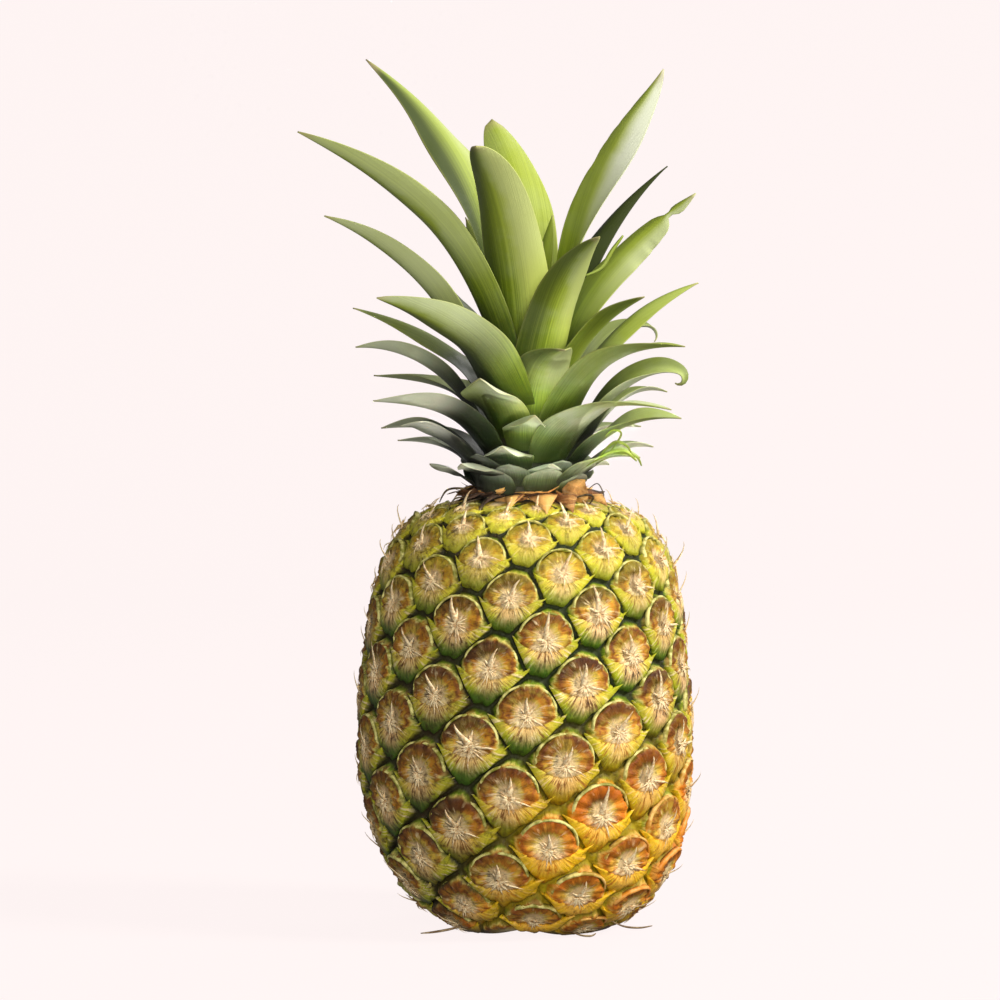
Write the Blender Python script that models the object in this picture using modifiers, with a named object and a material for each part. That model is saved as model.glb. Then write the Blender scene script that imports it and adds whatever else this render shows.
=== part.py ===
"""Whole ripe pineapple standing on its base.

The fruit is a barrel of eyes on a golden-angle spiral, each eye with a bract, a groove round it and a papery
spike. The cut stalk sits in its underside, the crown's stem in its top, and the crown's leaves stand round
that stem, one object for each leaf. Lengths below are in millimetres and are turned into metres on the mesh.
"""
import math

import bmesh
import bpy
import numpy as np
from mathutils import Vector
from mathutils.geometry import delaunay_2d_cdt, interpolate_bezier

MM = 0.001
GAP = 0.3  # clearance between two pieces that touch

# Fruit: (radius, height) over the tops of the eyes, from the resting ring to the neck
OUTLINE = (
    (31.0, 0.0), (38.4, 4.7), (48.4, 14.0), (56.3, 26.5), (61.4, 43.0), (64.2, 62.0), (64.4, 84.0),
    (62.4, 107.0), (58.5, 132.5), (53.0, 148.5), (44.5, 159.0), (34.5, 164.0), (27.0, 166.5),
)
BASE_SIDES = 36
NECK_SIDES = 30
BOW_OUT = -3.2  # the fruit's middle stands this far to the left of its base
BOW_BACK = 0.8  # and its top comes back by this much
BOW_HEIGHTS = (0.0, 70.0, 90.0, 160.0)

# Eyes: the spiral is counted from the eye that stands 15.7 mm above the level of the fruit's belly
BELLY = 82.7
FIRST_EYE, LAST_EYE = -72, 75
GHOST_EYES = 30
EYE_TURN = math.radians(137.457)
EYE_START = math.radians(-117.34)
EYE_LEVEL, EYE_RISE, EYE_CROWDING = 15.69, 1.3647, 0.00312
HEX_INRADIUS = 0.537  # of a hexagon with an area of 1
FULL_EYE = 12.5  # half width of a full-grown eye, at which the relief below is true
GROOVE_CORNER, GROOVE_SIDE = -4.4, -3.6
SPIKE_OUT, SPIKE_UP = 3.4, 8.5
SMALLEST_SPIKE = 6.0  # eyes with a smaller half width have only a low point, as high as this next value
LOW_POINT = 1.2
# Points of one eye: (angle from the top of the eye in degrees, distance out in half widths, height in mm)
RIM = (
    (0, 0.82, -1.1), (38, 0.82, -0.9), (74, 0.82, -0.7), (104, 0.86, 0.4), (146, 0.80, -0.3),
    (180, 0.84, -0.9), (214, 0.80, -0.3), (256, 0.86, 0.4), (286, 0.82, -0.7), (322, 0.82, -0.9),
)
FACE = ((0, 0.5, -0.2), (72, 0.5, 0.1), (128, 0.5, 1.2), (232, 0.5, 1.2), (288, 0.5, 0.1))
SPIKE_ROOT = ((60, 0.11, 0.8), (180, 0.16, 1.6), (300, 0.11, 0.8))
FADE = 9.0  # the relief dies out over this length towards the neck and the resting ring
RELIEF_ROOM, SPIKE_ROOM = 0.28, 0.5  # half widths that a point and a spike keep clear of the fruit's end rings
GROOVE_SPACING = 0.3  # half widths between two points of the groove, at the least
MAP_MARGIN = 1.2  # radians by which the map is carried on past its left and right edge

# Seats in the fruit for the stalk and the crown
STALK_RADIUS, STALK_HEIGHT = 12.0, 7.7
STALK_TAPER = 0.5
SEAT = ((21.0, 167.3), (20.0, 165.4), (12.0, 162.6))

# Crown stem: (radius, height) from its foot to its tip
STEM = (
    (0.0, 162.9), (11.7, 162.9), (19.6, 165.8), (20.4, 168.2), (19.4, 171.0), (17.6, 176.0), (13.8, 186.0),
    (9.4, 198.0), (5.2, 209.0), (2.0, 215.5), (0.0, 217.0),
)
STEM_SIDES = 24
DRY_LEAFLETS = 15
DRY_RADIUS, DRY_HEIGHT = 18.6, 169.0
DRY_LENGTH, DRY_WIDTH, DRY_THICKNESS = 12.5, 8.4, 1.6
DRY_RISE = 3.0  # of a leaflet's tip above its root
DRY_TIP = 1.2
SHARP = math.radians(50.0)  # edges sharper than this stay sharp where a piece is shaded smooth

# Leaves, numbered from the lowest up round the stem
LEAVES = 46
LEAF_TURN = math.radians(137.2)
LEAF_START = math.radians(131.8)
ROOT_LOW, ROOT_HIGH = 171.9, 213.5
ROOT_CROWDING = 1.3  # above 1, the roots stand closer together low on the stem
LEAF_THICKNESS = 0.9
ROOT_OUT = 1.2  # from the stem's surface to the middle of a leaf's root
LEAF_STEPS = 9
# The rule for a leaf, at these numbers: reach and height of the tip, slope at the root and tip, width
RULE_AT = (0, 5, 10, 15, 20, 25, 30, 35, 40, 45)
RULE = {
    "reach": (44, 50, 58, 62, 63, 65, 66, 62, 20, 5),
    "height": (179, 187, 199, 208, 220, 240, 268, 290, 288, 262),
    "root_slope": (34, 40, 46, 52, 61, 68, 74, 79, 83, 89),
    "tip_slope": (-6, -10, -6, 0, 10, 18, 26, 38, 70, 86),
    "width": (14, 15, 16, 17, 18, 18, 18, 18, 17, 13),
}
# Leaves that differ from the rule. Turn moves the whole leaf round the stem, sway moves its tip on from its
# root, and twist turns its blade about its own midrib towards the tip, all in degrees.
OWN_SHAPE = {
    1: {"reach": 38, "height": 180.5, "tip_slope": 2, "twist": 14},
    2: {"sway": 19, "reach": 48, "height": 184, "tip_slope": -20, "twist": 18},
    4: {"reach": 40, "height": 182, "tip_slope": -4, "root_slope": 52, "width": 17},
    6: {"sway": 15, "reach": 54, "height": 189, "tip_slope": 0},
    7: {"turn": 4, "reach": 34, "height": 182, "root_slope": 60, "tip_slope": 4, "width": 18},
    8: {"sway": -25, "reach": 55, "height": 194, "tip_slope": -4},
    9: {"reach": 51, "height": 196, "tip_slope": -12, "width": 16, "twist": 16},
    10: {"sway": 10, "reach": 62, "height": 199, "tip_slope": -8, "twist": 20},
    12: {"turn": 3, "sway": 4, "reach": 38, "height": 189, "root_slope": 66, "tip_slope": 2, "width": 22},
    13: {"sway": -3, "reach": 60, "height": 208, "tip_slope": -16, "width": 12},
    14: {"sway": 3, "reach": 59, "height": 194, "tip_slope": -6, "width": 14, "twist": 14},
    15: {"sway": 28, "reach": 65, "height": 203, "root_slope": 53, "tip_slope": -20, "width": 19},
    17: {"sway": -12, "reach": 64, "height": 206, "tip_slope": 2, "twist": 16},
    18: {"sway": 4, "reach": 65, "height": 212, "tip_slope": -50, "twist": 24},
    19: {"sway": 20, "reach": 71, "height": 214, "tip_slope": 6},
    20: {"sway": 8, "reach": 42, "height": 201, "root_slope": 73, "tip_slope": 4, "width": 25},
    21: {"sway": -14, "reach": 64, "height": 231, "tip_slope": -32, "width": 14, "twist": 20},
    22: {"sway": -4, "reach": 67, "height": 226, "tip_slope": -4, "twist": 18},
    23: {"sway": 17, "reach": 67, "height": 227, "tip_slope": -4, "width": 22},
    25: {"sway": 14, "reach": 44, "height": 215, "root_slope": 74, "tip_slope": 6, "width": 27},
    26: {"reach": 68, "height": 251, "tip_slope": 16, "width": 14, "twist": 24},
    27: {"sway": 18, "reach": 71, "height": 241, "tip_slope": 14},
    28: {"turn": -2, "sway": 8, "reach": 43, "height": 226, "root_slope": 78, "tip_slope": 14, "width": 27},
    29: {"sway": -26, "reach": 68, "height": 297, "tip_slope": 42, "width": 15},
    30: {"sway": -2, "reach": 81, "height": 277, "root_slope": 69, "tip_slope": 22, "twist": 24},
    31: {"turn": 3, "sway": -6, "reach": 51, "height": 246, "root_slope": 78, "tip_slope": 24, "width": 22},
    33: {"sway": -24, "reach": 81, "height": 254, "root_slope": 76, "tip_slope": -6, "width": 25},
    34: {"sway": -17, "reach": 67, "height": 286, "tip_slope": 38, "width": 20, "twist": 34},
    35: {"reach": 64, "height": 275, "tip_slope": 36},
    36: {"sway": 3, "reach": 49, "height": 269, "tip_slope": 34, "width": 25},
    37: {"turn": 8, "sway": 18, "reach": 56, "height": 316, "tip_slope": 48, "width": 26},
    38: {"sway": -16, "reach": 93, "height": 309, "tip_slope": 28, "width": 19, "twist": 26},
    39: {"sway": 13, "reach": 55, "height": 333, "root_slope": 79, "tip_slope": 46, "width": 25, "twist": 46},
    40: {"sway": 22, "reach": 72, "height": 339, "tip_slope": 36, "width": 30},
    41: {"turn": -17, "sway": 1, "reach": 60, "height": 303, "root_slope": 88, "tip_slope": 26, "width": 28},
}
LEAF_FOLD = 0.22  # how far a leaf's edges rise above its midrib, in half widths
FOLD_BEGINS, FOLD_RUNS = 14.0, 30.0  # at this radius, and over this length outwards
ROOT_HANDLE, TIP_HANDLE = 0.42, 0.36  # of the midrib's curve, in spans from root to tip
ROOT_WIDTH = 0.8  # of the leaf's width, and full width is reached at this share of its length
FULL_WIDTH_AT = 0.25
TAPER_FROM, TAPER_POWER = 0.22, 2.4
TIP_WIDTH = 0.9
# The angle that half a leaf may take up round the stem, at its root and further out, so that leaves don't meet
WRAP_AT_ROOT, WRAP_FURTHER = math.radians(30.0), math.radians(60.0)
WRAP_GROWS = 0.35
TWIST_GROWS = 0.8
YOUNG_FROM = 0.45  # leaves above this share of their number are young ones

COLOURS = {
    "rind": ((0.42, 0.27, 0.06), 0.55),
    "stalk": ((0.48, 0.36, 0.18), 0.85),
    "crown_stem": ((0.20, 0.11, 0.04), 0.8),
    "young_leaf": ((0.22, 0.33, 0.05), 0.45),
    "old_leaf": ((0.12, 0.18, 0.07), 0.5),
}


def remove_scene_objects():
    for old in list(bpy.data.objects):
        bpy.data.objects.remove(old, do_unlink=True)


def material(name):
    """The material of one kind of tissue, made once."""
    found = bpy.data.materials.get(name)
    if found:
        return found
    made = bpy.data.materials.new(name)
    made.use_nodes = True
    shader = made.node_tree.nodes["Principled BSDF"]
    colour, roughness = COLOURS[name]
    shader.inputs["Base Color"].default_value = (*colour, 1.0)
    shader.inputs["Roughness"].default_value = roughness
    shader.inputs["Metallic"].default_value = 0.0
    return made


def smooth(x):
    x = np.clip(x, 0.0, 1.0)
    return x * x * (3.0 - 2.0 * x)


def bow(height):
    """How far the plant's axis stands to the side at a height."""
    z0, z1, z2, z3 = BOW_HEIGHTS
    return BOW_OUT * smooth((height - z0) / (z1 - z0)) + BOW_BACK * smooth((height - z2) / (z3 - z2))


def finish(name, mesh_data, finish_name, collection):
    """Bow the mesh with the plant's axis, turn it into metres and make its object."""
    for vertex in mesh_data.vertices:
        x, y, z = vertex.co
        vertex.co = Vector((x + float(bow(z)), y, z)) * MM
    mesh_data.shade_smooth()
    mesh_data.set_sharp_from_angle(angle=SHARP)
    mesh_data.materials.append(material(finish_name))
    obj = bpy.data.objects.new(name, mesh_data)
    collection.objects.link(obj)
    return obj


def smooth_outline(points, steps):
    """A smooth curve through (radius, height) points, as an array of such pairs."""
    points = [Vector((r, z, 0.0)) for r, z in points]
    headings = [(b - a).normalized() for a, b in zip([points[0]] + points, points[1:] + [points[-1]])]
    curve = [points[0]]
    for i in range(len(points) - 1):
        here, there = points[i], points[i + 1]
        handle = (there - here).length / 3.0
        start = (headings[i] + headings[i + 1]).normalized() if i else headings[1]
        end = headings[i + 1] + (headings[i + 2] if i + 2 < len(points) else headings[i + 1])
        leaving, arriving = here + start * handle, there - end.normalized() * handle
        curve += interpolate_bezier(here, leaving, arriving, there, steps)[1:]
    return np.array([(p.x, p.y) for p in curve])


class Barrel:
    """The fruit's outline read by u, its height on a map on which angles are true: du is arc length over radius."""

    def __init__(self, outline):
        self.r, self.z = smooth_outline(outline, 40).T
        pieces = np.hypot(np.diff(self.r), np.diff(self.z))
        self.s = np.concatenate(([0.0], np.cumsum(pieces)))
        mid_radius = (self.r[1:] + self.r[:-1]) / 2.0
        self.u = np.concatenate(([0.0], np.cumsum(pieces / mid_radius)))
        self.tr, self.tz = np.gradient(self.r, self.s), np.gradient(self.z, self.s)
        self.belly = float(np.interp(BELLY, self.z, self.s))

    def read(self, values, u):
        return np.interp(u, self.u, values)

    def u_at(self, s):
        """The map's height at an arc length, carried on past both ends of the outline."""
        inside = np.interp(s, self.s, self.u)
        below = np.minimum(s - self.s[0], 0.0) / self.r[0]
        above = np.maximum(s - self.s[-1], 0.0) / self.r[-1]
        return inside + below + above

    def fade(self, u):
        """One on the fruit's sides, falling to nothing at the neck and at the resting ring."""
        s = self.read(self.s, u)
        return smooth((s - self.s[0]) / FADE) * smooth((self.s[-1] - s) / FADE)

    def place(self, turn, u, height, along=0.0):
        """The point at a place on the map, raised by a height, and moved on along the outline."""
        tr, tz = self.read(self.tr, u), self.read(self.tz, u)
        r = self.read(self.r, u) + tz * height + tr * along
        z = self.read(self.z, u) - tr * height + tz * along
        return Vector((r * math.sin(turn), -r * math.cos(turn), z))


def wrap(turn):
    return (turn + math.pi) % (2.0 * math.pi) - math.pi


def map_triangles(points):
    """Delaunay triangles of points on the map, whose left and right edges are one line."""
    width = 2.0 * math.pi
    tiled = []
    owner = []
    for shift in (-width, 0.0, width):
        for i, (turn, u) in enumerate(points):
            if abs(turn + shift) < math.pi + MAP_MARGIN:
                tiled.append(Vector((turn + shift, u)))
                owner.append(i)
    verts, _, faces, sources, _, _ = delaunay_2d_cdt(tiled, [], [], 0, 1e-7)
    triangles = []
    for face in faces:
        centre = sum(verts[i].x for i in face) / 3.0
        if -math.pi <= centre < math.pi:
            triangles.append(tuple(owner[sources[i][0]] for i in face))
    used = {i for face in triangles for i in face}
    if len(used) != len(points):
        raise ValueError(f"{len(points) - len(used)} points of the map belong to no triangle")
    return triangles


def eyes_on(barrel):
    """Turn, map height, radius and half width of each eye, with some more past both ends of the fruit."""
    eyes = []
    for k in range(FIRST_EYE - GHOST_EYES, LAST_EYE + GHOST_EYES + 1):
        s = barrel.belly + EYE_LEVEL + EYE_RISE * k - EYE_CROWDING * k * k
        u = float(barrel.u_at(s))
        radius = float(barrel.read(barrel.r, u))
        area = 2.0 * math.pi * radius * (EYE_RISE - 2.0 * EYE_CROWDING * k)
        eyes.append((wrap(EYE_START + EYE_TURN * k), u, radius, HEX_INRADIUS * math.sqrt(max(area, 1.0))))
    return eyes


def groove_points(eyes):
    """Corners and side middles of the cells between the eyes, as (turn, map height, relief, size)."""
    triangles = map_triangles([eye[:2] for eye in eyes])
    found = []
    sides = set()
    for face in triangles:
        t0, u0, radius, half = eyes[face[0]]
        a = Vector((wrap(eyes[face[1]][0] - t0), eyes[face[1]][1] - u0))
        b = Vector((wrap(eyes[face[2]][0] - t0), eyes[face[2]][1] - u0))
        twice = 2.0 * (a.x * b.y - a.y * b.x)
        if abs(twice) < 1e-9:
            continue
        x = (b.y * a.length_squared - a.y * b.length_squared) / twice
        y = (a.x * b.length_squared - b.x * a.length_squared) / twice
        found.append((wrap(t0 + x), u0 + y, GROOVE_CORNER, radius, half))
        for i in range(3):
            sides.add(tuple(sorted((face[i], face[i - 1]))))
    for one, other in sorted(sides):
        t0, u0, radius, half = eyes[one]
        step = wrap(eyes[other][0] - t0)
        found.append((wrap(t0 + step / 2.0), (u0 + eyes[other][1]) / 2.0, GROOVE_SIDE, radius, half))
    kept = []
    for point in found:
        near = GROOVE_SPACING * point[4] / point[3]
        if all(math.hypot(wrap(point[0] - q[0]), point[1] - q[1]) > near for q in kept):
            kept.append(point)
    return kept


def fruit(collection):
    barrel = Barrel(OUTLINE)
    low, high = float(barrel.u[0]), float(barrel.u[-1])
    eyes = eyes_on(barrel)
    plan = []
    places = []

    def add(turn, u, place):
        plan.append((wrap(turn), u))
        places.append(place)

    for j in range(BASE_SIDES):
        turn = wrap(2.0 * math.pi * (j + 0.5) / BASE_SIDES)
        add(turn, low, barrel.place(turn, low, 0.0))
    for j in range(NECK_SIDES):
        turn = wrap(2.0 * math.pi * (j + 0.5) / NECK_SIDES)
        add(turn, high, barrel.place(turn, high, 0.0))

    def room(u, radius, half, share):
        """True where a point stands clear of the two end rings."""
        edge = share * half / radius
        return low + edge < u < high - edge

    for turn, u, relief, radius, half in groove_points(eyes):
        if room(u, radius, half, RELIEF_ROOM):
            size = half / FULL_EYE
            add(turn, u, barrel.place(turn, u, relief * size * float(barrel.fade(u))))
    for turn, u, radius, half in eyes:
        size = half / FULL_EYE
        for ring in (RIM, FACE):
            for angle, out, relief in ring:
                side = out * half * math.sin(math.radians(angle)) / radius
                up = out * half * math.cos(math.radians(angle)) / radius
                if room(u + up, radius, half, RELIEF_ROOM):
                    fade = float(barrel.fade(u + up))
                    add(turn + side, u + up, barrel.place(turn + side, u + up, relief * size * fade))
        if not room(u, radius, half, SPIKE_ROOM):
            continue
        for angle, out, relief in SPIKE_ROOT:
            side = out * half * math.sin(math.radians(angle)) / radius
            up = out * half * math.cos(math.radians(angle)) / radius
            add(turn + side, u + up, barrel.place(turn + side, u + up, relief * size))
        grown = half > SMALLEST_SPIKE
        out_mm, up_mm = (SPIKE_OUT * size, SPIKE_UP * size) if grown else (LOW_POINT * size, 0.0)
        add(turn, u, barrel.place(turn, u, out_mm, up_mm))

    bm = bmesh.new()
    verts = [bm.verts.new((p.x, p.y, max(p.z, 0.0))) for p in places]
    for face in map_triangles(plan):
        bm.faces.new([verts[i] for i in face])
    base, neck = verts[:BASE_SIDES], verts[BASE_SIDES:BASE_SIDES + NECK_SIDES]
    recess = STALK_RADIUS + GAP
    close_end(bm, base, ((recess, 0.0), (recess, STALK_HEIGHT + GAP)))
    close_end(bm, neck, SEAT)
    bmesh.ops.recalc_face_normals(bm, faces=bm.faces)
    bmesh.ops.triangulate(bm, faces=bm.faces)
    mesh_data = bpy.data.meshes.new("fruit")
    bm.to_mesh(mesh_data)
    bm.free()
    return finish("fruit", mesh_data, "rind", collection)


def close_end(bm, ring, rings):
    """Carry an open ring of vertices on through (radius, height) rings and fill the last."""
    inside = set(ring)
    edges = [e for e in {e for v in ring for e in v.link_edges} if e.verts[0] in inside and e.verts[1] in inside]
    for radius, height in rings:
        made = bmesh.ops.extrude_edge_only(bm, edges=edges)["geom"]
        for vertex in (g for g in made if isinstance(g, bmesh.types.BMVert)):
            turn = math.atan2(vertex.co.x, -vertex.co.y)
            vertex.co = (radius * math.sin(turn), -radius * math.cos(turn), height)
        edges = [g for g in made if isinstance(g, bmesh.types.BMEdge)]
    bmesh.ops.edgeloop_fill(bm, edges=edges)


def stalk(collection):
    bm = bmesh.new()
    top_radius = STALK_RADIUS - STALK_TAPER
    bmesh.ops.create_cone(
        bm, cap_ends=True, segments=20, radius1=STALK_RADIUS, radius2=top_radius, depth=STALK_HEIGHT)
    bmesh.ops.translate(bm, verts=bm.verts, vec=(0.0, 0.0, STALK_HEIGHT / 2.0))
    mesh_data = bpy.data.meshes.new("cut_stalk")
    bm.to_mesh(mesh_data)
    bm.free()
    return finish("cut_stalk", mesh_data, "stalk", collection)


def turned(name, outline, sides):
    """A closed solid turned round the Z axis, its outline running up from the axis and back to it."""
    bm = bmesh.new()
    verts = [bm.verts.new((r, 0.0, z)) for r, z in outline]
    edges = [bm.edges.new(pair) for pair in zip(verts, verts[1:])]
    bmesh.ops.spin(
        bm, geom=verts + edges, axis=(0.0, 0.0, 1.0), cent=(0.0, 0.0, 0.0), angle=2.0 * math.pi, steps=sides,
        use_merge=True)
    bmesh.ops.remove_doubles(bm, verts=bm.verts, dist=0.001)
    bmesh.ops.recalc_face_normals(bm, faces=bm.faces)
    mesh_data = bpy.data.meshes.new(name)
    bm.to_mesh(mesh_data)
    bm.free()
    return mesh_data


def dry_leaflet(number):
    """One withered leaflet at the foot of the crown: a flat wedge that narrows to a turned-up point."""
    turn = LEAF_TURN * number
    length = DRY_LENGTH * (0.82 + 0.18 * math.sin(2.4 * number))
    bm = bmesh.new()
    bmesh.ops.create_cone(
        bm, cap_ends=True, segments=4, radius1=DRY_WIDTH / math.sqrt(2.0), radius2=DRY_TIP / 2.0, depth=length)
    for vertex in bm.verts:
        across, up, along = vertex.co
        along += length / 2.0
        flat = up * DRY_THICKNESS / DRY_WIDTH
        r = DRY_RADIUS + along
        z = DRY_HEIGHT + flat + DRY_RISE * (along / DRY_LENGTH) ** 2 + 0.4 * math.sin(1.7 * number)
        vertex.co = (
            r * math.sin(turn) + across * math.cos(turn), -r * math.cos(turn) + across * math.sin(turn), z)
    bmesh.ops.recalc_face_normals(bm, faces=bm.faces)
    mesh_data = bpy.data.meshes.new(f"dry_leaflet_{number}")
    bm.to_mesh(mesh_data)
    bm.free()
    return bpy.data.objects.new(mesh_data.name, mesh_data)


def crown_stem(collection):
    """The stem that carries the leaves, with the withered leaflets round its foot joined to it."""
    body = bpy.data.objects.new("stem_body", turned("stem_body", STEM, STEM_SIDES))
    collection.objects.link(body)
    leaflets = bpy.data.collections.new("dry_leaflets")
    collection.children.link(leaflets)
    for number in range(DRY_LEAFLETS):
        leaflets.objects.link(dry_leaflet(number))
    join = body.modifiers.new("leaflets", "BOOLEAN")
    join.operation = "UNION"
    join.operand_type = "COLLECTION"
    join.collection = leaflets
    joined = bpy.data.meshes.new_from_object(body.evaluated_get(bpy.context.evaluated_depsgraph_get()))
    for used in list(leaflets.objects) + [body]:
        bpy.data.objects.remove(used, do_unlink=True)
    bpy.data.collections.remove(leaflets)
    joined.name = "crown_stem"
    return finish("crown_stem", joined, "crown_stem", collection)


def stem_radius(height):
    radii, heights = zip(*STEM[3:])
    return float(np.interp(height, heights, radii))


class LeafShape:
    """The measures of one leaf, by its number from the lowest up."""

    def __init__(self, number):
        self.root_height = ROOT_LOW + (ROOT_HIGH - ROOT_LOW) * (number / (LEAVES - 1)) ** ROOT_CROWDING
        self.root_radius = stem_radius(self.root_height) + ROOT_OUT
        own = {key: float(np.interp(number, RULE_AT, row)) for key, row in RULE.items()}
        own.update({"turn": 0.0, "sway": 0.0, "twist": 0.0})
        own.update(OWN_SHAPE.get(number, {}))
        self.turn = LEAF_START + LEAF_TURN * number + math.radians(own["turn"])
        self.reach, self.height, self.width = own["reach"], own["height"], own["width"]
        self.sway, self.twist = math.radians(own["sway"]), math.radians(own["twist"])
        self.root_slope, self.tip_slope = math.radians(own["root_slope"]), math.radians(own["tip_slope"])

    def spine(self, steps):
        """Points (radius, height) along the midrib."""
        root = Vector((self.root_radius, self.root_height))
        tip = Vector((self.reach, self.height))
        span = (tip - root).length
        leaving = root + ROOT_HANDLE * span * Vector((math.cos(self.root_slope), math.sin(self.root_slope)))
        arriving = tip - TIP_HANDLE * span * Vector((math.cos(self.tip_slope), math.sin(self.tip_slope)))
        return interpolate_bezier(root, leaving, arriving, tip, steps)

    def half_width(self, t):
        """Half the leaf's width at t, from 0 at the root to 1 at the tip."""
        base = ROOT_WIDTH + (1.0 - ROOT_WIDTH) * float(smooth(t / FULL_WIDTH_AT))
        taper = 1.0 - max(0.0, (t - TAPER_FROM) / (1.0 - TAPER_FROM)) ** TAPER_POWER
        return max(self.width * base * taper, TIP_WIDTH) / 2.0


def leaf(number, collection):
    shape = LeafShape(number)
    bm = bmesh.new()
    bmesh.ops.create_grid(bm, x_segments=2, y_segments=LEAF_STEPS, size=1.0)
    spine = shape.spine(LEAF_STEPS + 1)
    for vertex in bm.verts:
        across = round(vertex.co.x)
        step = round((vertex.co.y + 1.0) / 2.0 * LEAF_STEPS)
        t = step / LEAF_STEPS
        r, z = spine[step]
        ahead, behind = spine[min(step + 1, LEAF_STEPS)], spine[max(step - 1, 0)]
        along = (ahead - behind).normalized()
        half = shape.half_width(t)
        widest = WRAP_AT_ROOT + (WRAP_FURTHER - WRAP_AT_ROOT) * float(smooth(t / WRAP_GROWS))
        half = min(half, widest * r)
        twist = shape.twist * float(smooth(t / TWIST_GROWS))
        fold = LEAF_FOLD * float(smooth((r - FOLD_BEGINS) / FOLD_RUNS))
        lift = abs(across) * fold * half + across * half * math.sin(twist)
        turn = shape.turn + shape.sway * t * t + across * half * math.cos(twist) / r
        r -= along.y * lift
        z += along.x * lift
        vertex.co = (r * math.sin(turn), -r * math.cos(turn), z)
    bmesh.ops.recalc_face_normals(bm, faces=bm.faces)
    strip = bpy.data.meshes.new(f"leaf_{number + 1:02d}_strip")
    bm.to_mesh(strip)
    bm.free()
    holder = bpy.data.objects.new(strip.name, strip)
    collection.objects.link(holder)
    thick = holder.modifiers.new("thickness", "SOLIDIFY")
    thick.thickness = LEAF_THICKNESS
    thick.offset = 0.0
    solid = bpy.data.meshes.new_from_object(holder.evaluated_get(bpy.context.evaluated_depsgraph_get()))
    bpy.data.objects.remove(holder, do_unlink=True)
    bpy.data.meshes.remove(strip)
    solid.name = f"leaf_{number + 1:02d}"
    kind = "young_leaf" if number >= LEAVES * YOUNG_FROM else "old_leaf"
    return finish(solid.name, solid, kind, collection)


def main():
    remove_scene_objects()
    plant = bpy.data.collections.new("pineapple")
    bpy.context.scene.collection.children.link(plant)
    fruit(plant)
    stalk(plant)
    crown_stem(plant)
    for number in range(LEAVES):
        leaf(number, plant)


main()
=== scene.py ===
"""Looks of one whole ripe pineapple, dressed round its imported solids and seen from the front.

The fruit's skin, the crown's leaves and the crown's stem follow the same rules as their solids, with a finer
mesh. The bracts, rims and papery spikes of the eyes are small shapes set on the eyes by Geometry Nodes.
Lengths are in millimetres until a mesh is finished, which turns them into metres.
"""
import math
import bmesh
import bpy
import numpy as np
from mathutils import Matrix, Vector
from mathutils.geometry import interpolate_bezier


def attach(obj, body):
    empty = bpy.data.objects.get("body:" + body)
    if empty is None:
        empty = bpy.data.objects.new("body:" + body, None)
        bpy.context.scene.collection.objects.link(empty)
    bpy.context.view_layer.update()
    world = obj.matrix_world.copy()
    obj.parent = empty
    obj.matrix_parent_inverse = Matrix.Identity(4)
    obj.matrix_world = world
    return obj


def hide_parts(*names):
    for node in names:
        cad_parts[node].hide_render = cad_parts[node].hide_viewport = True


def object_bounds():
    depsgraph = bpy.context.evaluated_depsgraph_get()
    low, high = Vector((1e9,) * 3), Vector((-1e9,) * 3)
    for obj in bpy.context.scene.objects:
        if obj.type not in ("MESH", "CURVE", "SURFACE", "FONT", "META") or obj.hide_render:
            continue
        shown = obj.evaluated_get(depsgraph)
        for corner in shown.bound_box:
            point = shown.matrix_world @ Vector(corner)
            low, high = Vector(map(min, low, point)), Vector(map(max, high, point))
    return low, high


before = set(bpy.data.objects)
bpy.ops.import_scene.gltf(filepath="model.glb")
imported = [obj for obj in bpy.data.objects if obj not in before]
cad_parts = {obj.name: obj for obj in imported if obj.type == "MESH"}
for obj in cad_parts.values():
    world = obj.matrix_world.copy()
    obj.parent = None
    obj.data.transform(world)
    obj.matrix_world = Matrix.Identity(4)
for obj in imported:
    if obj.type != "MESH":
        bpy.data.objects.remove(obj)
CAD_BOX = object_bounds()

MM = 0.001

# The fruit's outline over the tops of the eyes, (radius, height) from the resting ring to the neck
OUTLINE = (
    (31.0, 0.0), (38.4, 4.7), (48.4, 14.0), (56.3, 26.5), (61.4, 43.0), (64.2, 62.0), (64.4, 84.0),
    (62.4, 107.0), (58.5, 132.5), (53.0, 148.5), (44.5, 159.0), (34.5, 164.0), (27.0, 166.5),
)
BOW_OUT = -3.2
BOW_BACK = 0.8
BOW_HEIGHTS = (0.0, 70.0, 90.0, 160.0)

# The spiral of the eyes
BELLY = 82.7
FIRST_EYE, LAST_EYE = -72, 75
GHOST_EYES = 30
EYE_TURN = math.radians(137.457)
EYE_START = math.radians(-117.34)
EYE_LEVEL, EYE_RISE, EYE_CROWDING = 15.69, 1.3647, 0.00312
HEX_INRADIUS = 0.537
FULL_EYE = 12.5
FADE = 9.0
SMALLEST_EYE = 5.0
FAR = 1e9

# One eye, in half widths from the root of its spike: a disc, and a bract whose upper edge is a smile
DISC_UP, DISC_WIDE, DISC_TALL = 0.14, 0.92, 0.81
SMILE_LOW, SMILE_POWER = -0.36, 1.9
WING_OUT, WING_UP, WING_ROOT = 1.12, 0.06, 0.6
GROOVE_DEPTH, GROOVE_HALF = -2.9, 0.09
DISC_PROFILE = (
    # Way out from the disc's middle, and height in mm
    (0.0, -0.9), (0.2, -0.2), (0.5, 0.9), (0.8, 1.1), (0.93, 0.6), (1.0, -0.6), (1.1, -1.9), (1.2, -2.0),
)
BRACT_COLUMNS, BRACT_ROWS, BRACT_MARGIN = 23, 6, 0.04
# How round the fruit's side is across an eye and up it, and how much taller the highest eyes' spikes stand
ROUND_ACROSS, ROUND_UP = 64.0, 150.0
TALLER, TALLER_FROM, TALLER_RUN = 0.9, 118.0, 30.0

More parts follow.
